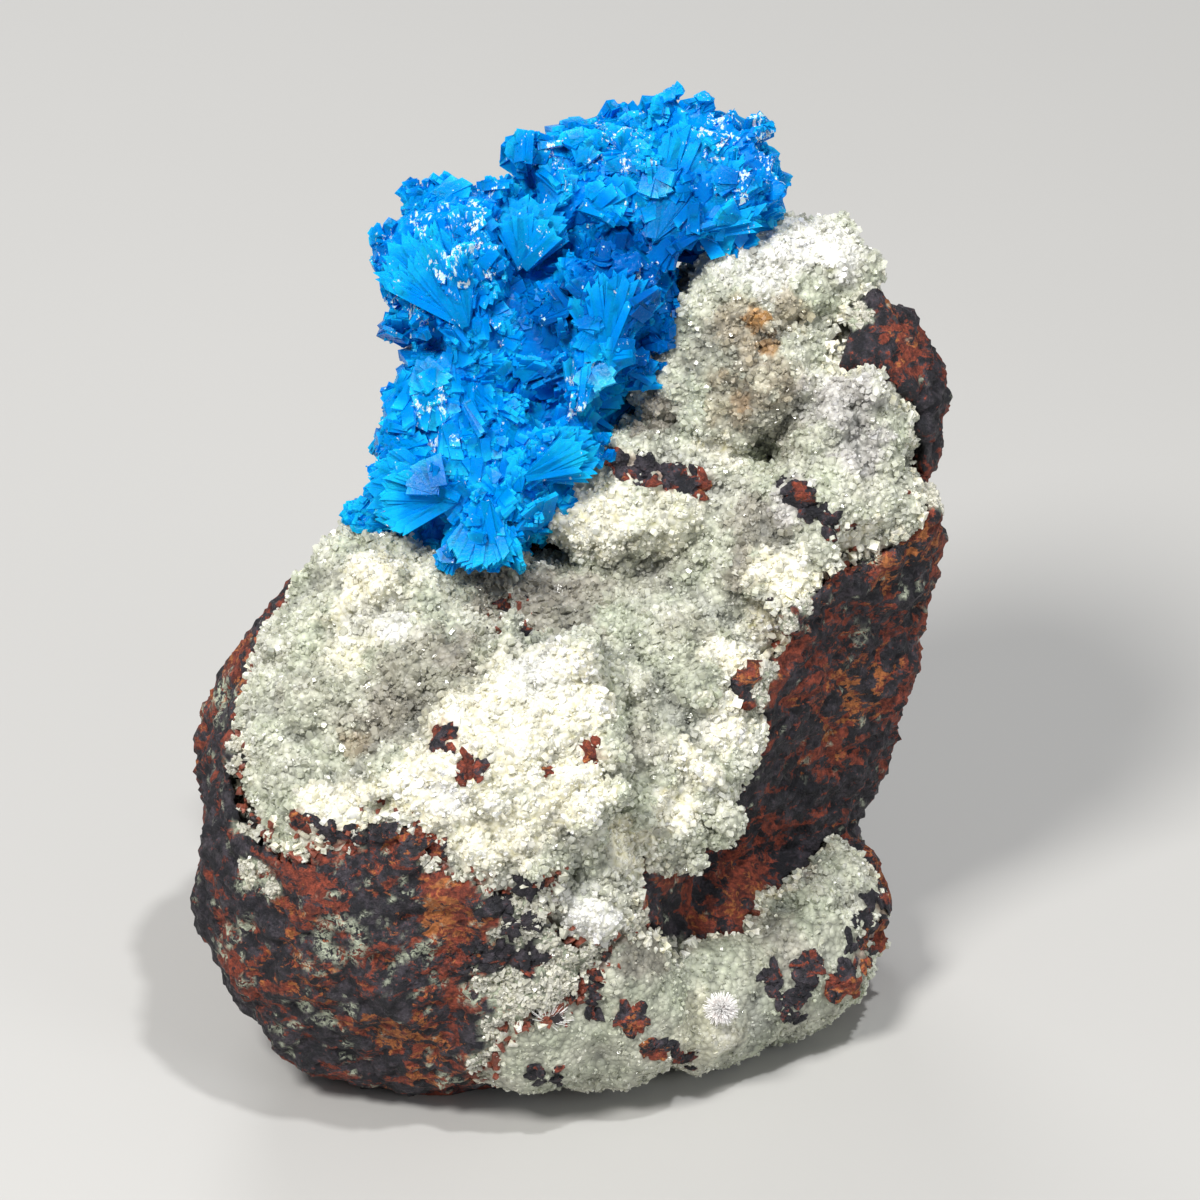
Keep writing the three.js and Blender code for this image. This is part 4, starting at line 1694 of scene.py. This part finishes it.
    def grow(
        self,
        mesh: bpy.types.Mesh,
        tree: BVHTree,
        rock: BVHTree,
        name: str,
        count: int,
        seed: Seed,
        start: int,
    ) -> None:
        """Stands small crystals on the ground, except under the basalt, on its chips and below the floor.

        Args:
            mesh: the ground.
            tree: the ground's faces.
            rock: the basalt's faces.
            name: what the pieces are called.
            count: how many crystals are tried.
            seed: the crystal.
            start: the random numbers' start.
        """
        roll = np.random.default_rng(start)
        spots, facing = scatter(mesh, count, roll)
        tints, chips = self.colours(tree, spots, rock)
        beside_tuft = np.linalg.norm(spots - np.array(self.tuft_at), axis=1) > self.tuft_clear
        open_ground = (chips < 0.3) & (spots[:, 2] > 0.5) & beside_tuft
        open_ground &= ~covered(rock, spots, facing, 1.5)
        on_foot = np.array([self.on_foot(spot) for spot in spots])
        open_ground &= (roll.random(len(spots)) < self.foot_share) | ~on_foot
        spots, facing, tints = spots[open_ground], facing[open_ground], tints[open_ground]
        number = len(spots)
        big = name.endswith("crystals")
        span = (0.26 + 0.42 * roll.random(number) ** 2.8) if big else (0.18 + 0.16 * roll.random(number))
        sizes = uneven(span, (0.9, 0.9), (0.8, 0.4), roll)
        sizes *= np.where(on_foot[open_ground], self.foot_size, 1.0)[:, None]
        shade = 0.85 + 0.65 * roll.random(number)
        tints = np.clip(tints * shade[:, None], 0, self.brightest)
        turns = turned(leaning(facing, 0.9, roll), roll.random(number) * 2 * math.pi)
        spots = spots - facing * (0.12 * span)[:, None]
        paint = self.crystal_finish.paint() if big else self.finish.paint()
        self.lay(name, seed, (spots, turns, sizes, tints), paint)

    def lay(self, name: str, seed: Seed, rows: tuple[np.ndarray, ...], paint: Paint) -> None:
        """Makes crystals as a few meshes that each stay under the limit of triangles.

        Args:
            name: what the pieces are called.
            seed: the crystal.
            rows: a place, turn, size and tint for each crystal.
            paint: the material.
        """
        number, triangles = len(rows[0]), 2 * len(seed.points) - 4
        parts = math.ceil(number * triangles / self.piece_limit)
        for part, chosen in enumerate(np.array_split(np.arange(number), parts)):
            spots, turns, sizes, tints = (row[chosen] for row in rows)
            piece = crowd(f"{name}_{part + 1}", seed, spots, turns, sizes, tints=tints)
            finish_piece(piece, paint, self.node, False)


@dataclass(frozen=True)
class Fan:
    """A sheet of blades side by side, in millimetres in the part's frame.

    The blades spring from the root and point along towards. The sheet's flat side looks along facing.
    """

    root: Point
    towards: Point
    facing: Point
    reach: float
    spread: float
    tone: float = 0.6

    def axes(self) -> tuple[np.ndarray, np.ndarray]:
        """The direction that its middle blade points in, and the one that its flat side looks along.

        Returns:
            Both directions, of length 1 and at a right angle.
        """
        along = np.array(self.towards) / np.linalg.norm(self.towards)
        through = np.array(self.facing) - along * np.dot(self.facing, along)
        return along, through / np.linalg.norm(through)

    def covers(self, place: np.ndarray, depth: float = 1.5) -> bool:
        """Whether a place lies within the sheet's outline.

        Args:
            place: the point, in millimetres.
            depth: how far from the sheet it may lie, in millimetres.

        Returns:
            True or False.
        """
        along, through = self.axes()
        away = place - np.array(self.root)
        reach, side = float(np.dot(away, along)), float(np.dot(away, np.cross(through, along)))
        near = abs(float(np.dot(away, through))) < depth
        within = abs(math.atan2(side, reach)) < math.radians(self.spread / 2)
        return near and 0.3 < reach < self.reach and within


@dataclass
class Sheaf:
    """Gathers the blades of many fans for one mesh."""

    places: list[np.ndarray] = field(default_factory=list)
    turns: list[np.ndarray] = field(default_factory=list)
    sizes: list[tuple[float, float, float]] = field(default_factory=list)
    tones: list[float] = field(default_factory=list)

    def add(self, fan: Fan, blades: int, thickness: float, roll: np.random.Generator) -> None:
        """Adds one fan.

        Args:
            fan: its place and size.
            blades: how many blades it has.
            thickness: how thick the blades are, in millimetres.
            roll: the random numbers.
        """
        along, through = fan.axes()
        across = np.cross(through, along)
        bend = roll.normal() * 0.18
        for k in range(blades):
            share = (k + 0.5) / blades - 0.5
            turn = math.radians(fan.spread) * share
            towards = along * math.cos(turn) + across * math.sin(turn) - through * bend * share * share * 4
            towards /= np.linalg.norm(towards)
            sideways = np.cross(through, towards)
            sideways /= np.linalg.norm(sideways)
            reach = fan.reach * (1 - 0.5 * share * share) * (0.93 + 0.10 * roll.random())
            width = 1.8 * reach * math.radians(fan.spread) / blades + 0.12
            self.places.append(np.array(fan.root) + through * roll.normal() * 0.16 * thickness)
            slant = sideways * roll.choice((-1, 1))
            self.turns.append(np.stack([slant, np.cross(towards, sideways), towards], axis=1))
            self.sizes.append((width, thickness * (0.8 + 0.4 * roll.random()), reach))
            self.tones.append(min(1.0, max(0.0, fan.tone + roll.normal() * 0.035)))

    def piece(self, name: str, seed: Seed, skin: BVHTree) -> bpy.types.Object:
        """Makes one mesh of all its blades.

        Args:
            name: the piece's name.
            seed: the blade.
            skin: the heart's faces, which the marks of painted glints land on.

        Returns:
            The piece.
        """
        # How much painted glint each blade gets.
        painted_glint = strength_at(skin, PAINTED_GLINTS, np.array(self.places), False)
        tones = {"tone": np.array(self.tones), "painted_glint": painted_glint}
        turns = np.array(self.turns)
        flipped = np.linalg.det(turns) < 0
        turns[flipped, :, 1] *= -1
        return crowd(name, seed, np.array(self.places), turns, np.array(self.sizes), tones)


@dataclass(frozen=True)
class FanKind:
    """A kind of smaller fan, with its count, the range of its reach and spread, and its blades.

    Lengths are in millimetres and spreads in degrees. The start is that of its random numbers.
    """

    name: str
    count: int
    reaches: tuple[float, float]
    spreads: tuple[float, float]
    blades: int
    thickness: float
    start: int


@dataclass
class CavansiteCluster:
    """The blue cluster: a stepped heart under fans of blades, from big smooth ones to small toothed ones.

    Lengths are in millimetres. Each big fan has a few layers, the first lifted furthest, and small fans keep
    clear of it. Most small fans lie like shingles, and the rest stand up.
    """

    node: str = "cavansite_cluster"
    voxel: float = 0.20
    shrink: float = 0.22
    layers: int = 6
    first_lift: float = 1.15
    layer_step: float = 0.28
    big_thickness: float = 0.5
    blades_per_mm: float = 3.0
    kept_clear: float = 0.95
    shingled_share: float = 0.96
    finish: CavansiteFinish = field(default_factory=CavansiteFinish)
    blade_finish: CavansiteFinish = CavansiteFinish("cavansite_blade", roughness=0.28)
    middle_fans: FanKind = FanKind(
        "cavansite_middle_fans",
        count=1150,
        reaches=(1.0, 2.3),
        spreads=(50, 95),
        blades=6,
        thickness=0.48,
        start=21,
    )
    small_fans: FanKind = FanKind(
        "cavansite_small_fans",
        count=2700,
        reaches=(0.5, 1.1),
        spreads=(40, 90),
        blades=3,
        thickness=0.36,
        start=22,
    )
    big_fans: tuple[Fan, ...] = (
        # upper right
        Fan((5.0, 7.5, 47.4), (0.63, 0.39, 0.67), (-0.12, -0.85, 0.5), 8.8, 70, 0.45),
        # right of the middle
        Fan((2.0, 2.7, 42.1), (0.1, 0.5, 0.86), (0.1, -0.92, 0.4), 6.4, 58, 0.35),
        # upper left
        Fan((-5.8, 3.5, 43.7), (-0.5, 0.42, 0.76), (-0.25, -0.85, 0.45), 7.6, 56, 0.6),
        # lower left
        Fan((-6.3, -1.9, 35.2), (-0.95, 0.1, 0.2), (-0.15, -0.9, 0.4), 6.0, 60, 0.7),
        # lower right
        Fan((-2.8, -1.1, 36.1), (0.88, 0.22, 0.4), (0.2, -0.88, 0.42), 5.2, 48, 0.7),
        # hanging down at the foot
        Fan((-5.0, -2.5, 35.2), (-0.05, -0.5, -0.86), (0.05, -0.87, 0.5), 4.7, 60, 0.55),
        # the light petal beside the druse
        Fan((0.2, 1.3, 39.5), (0.25, 0.5, 0.83), (0.3, -0.9, 0.3), 4.3, 38, 0.9),
        # over the dip between the two upper masses
        Fan((-2.7, 6.2, 46.2), (0.12, 0.5, 0.86), (0.0, -0.87, 0.5), 4.6, 85, 0.45),
    )

    @staticmethod
    def blade() -> Seed:
        """A flat blade with a slanting chisel tip, one unit long, wide and thick.

        Returns:
            Its points and faces.
        """

        def build(shape: bmesh.types.BMesh) -> None:
            """A block, narrowed at both ends and slanted at its tip.

            Args:
                shape: the empty mesh that it is made in.
            """
            bmesh.ops.create_cube(shape, size=1.0)
            bmesh.ops.translate(shape, verts=shape.verts, vec=(0, 0, 0.5))
            tip = [v for v in shape.verts if v.co.z > 0.5]
            bmesh.ops.scale(shape, verts=tip, vec=(0.86, 0.55, 1.0))
            low = [v for v in tip if v.co.x < 0]
            bmesh.ops.translate(shape, verts=low, vec=(0, 0, -0.10))
            foot = [v for v in shape.verts if v.co.z < 0.5]
            bmesh.ops.scale(shape, verts=foot, vec=(0.9, 1.0, 1.0))

        return Seed.grown(build)

    def build(self, druse: BVHTree) -> None:
        """Makes the heart and the fans.

        Args:
            druse: the ground's surface, which the heart is thickened towards.
        """
        heart = even_skin(self.node, "cavansite_heart", self.voxel, 4)
        mesh = heart.data
        skin = tree_of(heart)
        points, normals = points_of(mesh), normals_of(mesh)
        ripple = np.array([self.ripple(Vector(p)) for p in points])
        gaps = nearest_points(druse, points)[1]
        shrink = self.shrink * np.clip(gaps / 1.5, 0, 1) - 0.35 * np.clip(1 - gaps / 1.2, 0, 1)
        move_points(mesh, points + normals * (ripple - shrink)[:, None])
        store(mesh, "tone", self.tone_at(skin, points))
        # Raised facets of the heart read as further along, so they get more painted highlight and sunken ones
        # more painted shade.
        store(mesh, "along", np.clip(0.45 + 0.5 * ripple, 0, 1))
        # How much painted glint the heart gets.
        store(mesh, "painted_glint", strength_at(skin, PAINTED_GLINTS, points, False))
        finish_piece(heart, self.finish.paint(), self.node, False)
        self.grow_big(skin)
        for kind in (self.middle_fans, self.small_fans):
            self.grow(kind, mesh, skin)

    @staticmethod
    def facets(place: Vector, size: float) -> float:
        """Flat faces that lean every way, with steps between.

        Args:
            place: the point, in millimetres.
            size: how large the faces are, in millimetres.

        Returns:
            The height in millimetres.
        """
        spot = noise.voronoi(place / size)[1][0]
        lean = noise.cell_vector(spot * 3.7) - Vector((0.5, 0.5, 0.5))
        step = noise.cell(spot * 5.3)
        return size * (0.16 * step + 1.1 * lean.dot(place / size - spot))

    def ripple(self, place: Vector) -> float:
        """The heart's stepped faces, in millimetres."""
        return 0.42 * self.facets(place, 2.4) + 0.6 * self.facets(place + Vector((4, 9, 1)), 0.95)

    @staticmethod
    def tone_at(skin: BVHTree, points: np.ndarray) -> np.ndarray:
        """How light the blue is at each point, in millimetres, from 0 to 1: a random tone, darkened by
        painted shade at the marks and lightened by painted light where their strength is negative.
        """
        tone = np.array([0.66 + 0.7 * noise.noise(Vector(p) / 3.0 + Vector((5, 1, 8))) for p in points])
        return np.clip(tone - strength_at(skin, PAINTED_SHADE_AND_LIGHT, points, True), 0, 1)

    def grow_big(self, skin: BVHTree) -> None:
        """The big fans, each a few sheets thick.

        Args:
            skin: the heart's faces before its relief, which the marks of painted glints land on.
        """
        roll = np.random.default_rng(20)
        sheaf = Sheaf()
        for fan in self.big_fans:
            root, facing = np.array(fan.root), np.array(fan.facing)
            for layer in range(self.layers):
                lift = self.first_lift - self.layer_step * layer
                nudge = roll.normal(size=3) * 0.10
                sheet = Fan(
                    tuple(root + facing * lift),
                    tuple(np.array(fan.towards) + nudge),
                    tuple(facing + roll.normal(size=3) * 0.06),
                    fan.reach * (0.99 - 0.09 * abs(layer - 2.5) - 0.05 * roll.random()),
                    fan.spread * (0.9 + 0.15 * roll.random()),
                    fan.tone + 0.04 * roll.normal(),
                )
                sheaf.add(sheet, round(fan.reach * self.blades_per_mm), self.big_thickness, roll)
        piece = sheaf.piece("cavansite_big_fans", self.blade(), skin)
        finish_piece(piece, self.blade_finish.paint(), self.node, False)

    def grow(self, kind: FanKind, mesh: bpy.types.Mesh, skin: BVHTree) -> None:
        """Fans over the whole heart, lying over each other like shingles or standing up.

        Args:
            kind: which kind of fan.
            mesh: the heart.
            skin: the heart's faces before its relief, which the picture points land on.
        """
        roll = np.random.default_rng(kind.start)
        spots, facing = scatter(mesh, kind.count, roll)
        sheaf = Sheaf()
        tones = self.tone_at(skin, spots)
        for spot, normal, level in zip(spots, facing, tones):
            if roll.random() < self.kept_clear and any(fan.covers(spot) for fan in self.big_fans):
                continue
            drift = np.array(noise.noise_vector(Vector(spot) / 5.0)) * 2.0 + roll.normal(size=3) * 0.3
            drift -= normal * np.dot(drift, normal)
            drift /= np.linalg.norm(drift)
            shingled = roll.random() < self.shingled_share
            rise = math.radians(2 + (14 if shingled else 28) * roll.random())
            along = normal * math.sin(rise) + drift * math.cos(rise)
            through = normal if shingled else np.cross(along, normal) + 0.4 * roll.normal(size=3)
            reach = kind.reaches[0] + (kind.reaches[1] - kind.reaches[0]) * roll.random()
            spread = kind.spreads[0] + (kind.spreads[1] - kind.spreads[0]) * roll.random()
            tone = level + 0.05 * roll.normal()
            root = spot - along * (0.5 * reach) - normal * (0.2 * kind.thickness)
            fan = Fan(tuple(root), tuple(along), tuple(through), reach, spread, tone)
            sheaf.add(fan, kind.blades, kind.thickness, roll)
        piece = sheaf.piece(kind.name, self.blade(), skin)
        finish_piece(piece, self.blade_finish.paint(), self.node, False)


@dataclass
class MordeniteTuft:
    """The white tuft on the foot, a half ball of fine needles, and a thin spray of them beside it.

    Lengths are in millimetres. The spray's place is a picture point.
    """

    node: str = "mordenite_tuft"
    needles: int = 1700
    thickness: float = 0.075
    spray_at: tuple[float, float] = (548.0, 1022.0)
    spray_needles: int = 130
    spray_thickness: float = 0.045
    lean: Point = (0.0, -0.5, 0.3)
    spray_up: Point = (0.35, 0.0, 1.0)
    spray_width: float = 0.75
    finish: MordeniteFinish = field(default_factory=MordeniteFinish)

    @staticmethod
    def needle() -> Seed:
        """A three-sided needle, one unit long and wide.

        Returns:
            Its points and faces.
        """

        def build(shape: bmesh.types.BMesh) -> None:
            """A thin cone with a blunt end."""
            bmesh.ops.create_cone(shape, cap_ends=True, segments=3, radius1=0.5, radius2=0.3, depth=1.0)
            bmesh.ops.translate(shape, verts=shape.verts, vec=(0, 0, 0.5))

        return Seed.grown(build)

    def build(self, druse: BVHTree) -> None:
        """Makes the tuft in its node's place and the spray on the ground.

        Args:
            druse: the surface that the spray's picture point lands on.
        """
        low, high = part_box(self.node)
        centre = np.array((low + high) / 2) / MM
        reach = float(min(high - low)) / MM / 2
        roll = np.random.default_rng(31)
        away = roll.normal(size=(self.needles, 3)) + np.array(self.lean)
        away /= np.linalg.norm(away, axis=1, keepdims=True)
        long = reach * (0.7 + 0.7 * roll.random(self.needles) ** 2)
        places = np.repeat(centre[None], self.needles, 0)
        self.stand("mordenite_needles", places, away, long, self.thickness, roll)
        hit = VIEW.land(druse, *self.spray_at)
        if hit is None:
            return
        facing = np.array(druse.find_nearest(hit)[1])
        up = np.cross(np.cross(facing, np.array(self.spray_up)), facing)
        side = np.cross(facing, up / np.linalg.norm(up))
        angles = roll.normal(size=self.spray_needles) * self.spray_width
        flat = np.cos(angles)[:, None] * up + np.sin(angles)[:, None] * side
        away = flat + facing * (0.12 + 0.5 * roll.random(self.spray_needles)[:, None])
        places = np.repeat((np.array(hit) / MM - facing * 0.05)[None], self.spray_needles, 0)
        long = 0.5 + 1.1 * roll.random(self.spray_needles)
        self.stand("mordenite_spray", places, away, long, self.spray_thickness, roll)

    def stand(
        self,
        name: str,
        places: np.ndarray,
        away: np.ndarray,
        long: np.ndarray,
        thickness: float,
        roll: np.random.Generator,
    ) -> None:
        """Makes one piece of needles.

        Args:
            name: the piece's name.
            places: where each needle starts, in millimetres.
            away: the direction that it points in.
            long: its length in millimetres.
            thickness: its thickness in millimetres.
            roll: the random numbers.
        """
        number = len(places)
        sizes = np.stack([np.full(number, thickness), np.full(number, thickness), long], 1)
        piece = crowd(name, self.needle(), places, turned(away, roll.random(number) * 6.28), sizes)
        finish_piece(piece, self.finish.paint(), self.node, False)


# ---------------------------------------------------------------- the studio


@dataclass(frozen=True)
class Lamp:
    """An area light that looks at the specimen's middle. Lengths are in metres, its power in watts."""

    name: str
    at: Point
    size: float
    power: float
    colour: Colour = (1.0, 1.0, 1.0)
    middle: Point = (0.0, 0.0, 0.028)

    def hang(self) -> None:
        """Adds the light."""
        data = bpy.data.lights.new(self.name, "AREA")
        data.shape = "DISK"
        data.size = self.size
        data.energy = self.power
        data.color = self.colour
        lamp = bpy.data.objects.new(self.name, data)
        lamp.location = Vector(self.at)
        towards = Vector(self.middle) - lamp.location
        lamp.rotation_euler = towards.to_track_quat("-Z", "Y").to_euler()
        bpy.context.scene.collection.objects.link(lamp)


@dataclass(frozen=True)
class Studio:
    """A plain pale floor and soft light."""

    floor_radius: float = 1.6
    floor_colour: Colour = (0.50, 0.495, 0.48)
    sky_colour: Colour = (0.93, 0.95, 1.0)
    sky_strength: float = 0.22
    lamps: tuple[Lamp, ...] = (
        Lamp("soft_key", (-0.20, -0.26, 0.44), 0.14, 2.7, (1.0, 0.98, 0.95)),
        Lamp("soft_fill", (0.36, -0.30, 0.22), 0.24, 0.55, (0.96, 0.98, 1.0)),
        Lamp("sparkle", (0.10, -0.12, 0.50), 0.035, 1.2),
        Lamp("back_rim", (-0.10, 0.40, 0.30), 0.20, 0.6),
    )

    def build(self) -> None:
        """Makes the floor, the lights and the sky."""
        shape = bmesh.new()
        bmesh.ops.create_circle(shape, cap_ends=True, segments=96, radius=self.floor_radius)
        mesh = bpy.data.meshes.new("floor")
        shape.to_mesh(mesh)
        shape.free()
        floor = link("floor", mesh)
        paint = Paint("floor")
        darker = tuple(0.97 * level for level in self.floor_colour)
        paint.set(Base_Color=paint.mix(paint.cloud(40.0, 2), self.floor_colour, darker), Roughness=0.6)
        mesh.materials.append(paint.material)
        for lamp in self.lamps:
            lamp.hang()
        world = bpy.data.worlds.new("sky")
        world.use_nodes = True
        background = world.node_tree.nodes["Background"]
        background.inputs["Color"].default_value = rgba(self.sky_colour)
        background.inputs["Strength"].default_value = self.sky_strength
        bpy.context.scene.world = world
        bpy.context.scene.view_settings.view_transform = "Standard"


def main() -> None:
    """Builds the specimen and its setting."""
    logging.basicConfig(level=logging.INFO, format="%(name)s: %(message)s")
    # Vector noise starts from the clock unless it is given a seed.
    noise.seed_set(NOISE_SEED)
    VIEW.make_camera()
    rock = BasaltMatrix().build()
    druse, outside = ZeoliteDruse().build(rock)
    CavansiteCluster().build(druse)
    MordeniteTuft().build(outside)
    Studio().build()


if __name__ == "__main__":
    main()
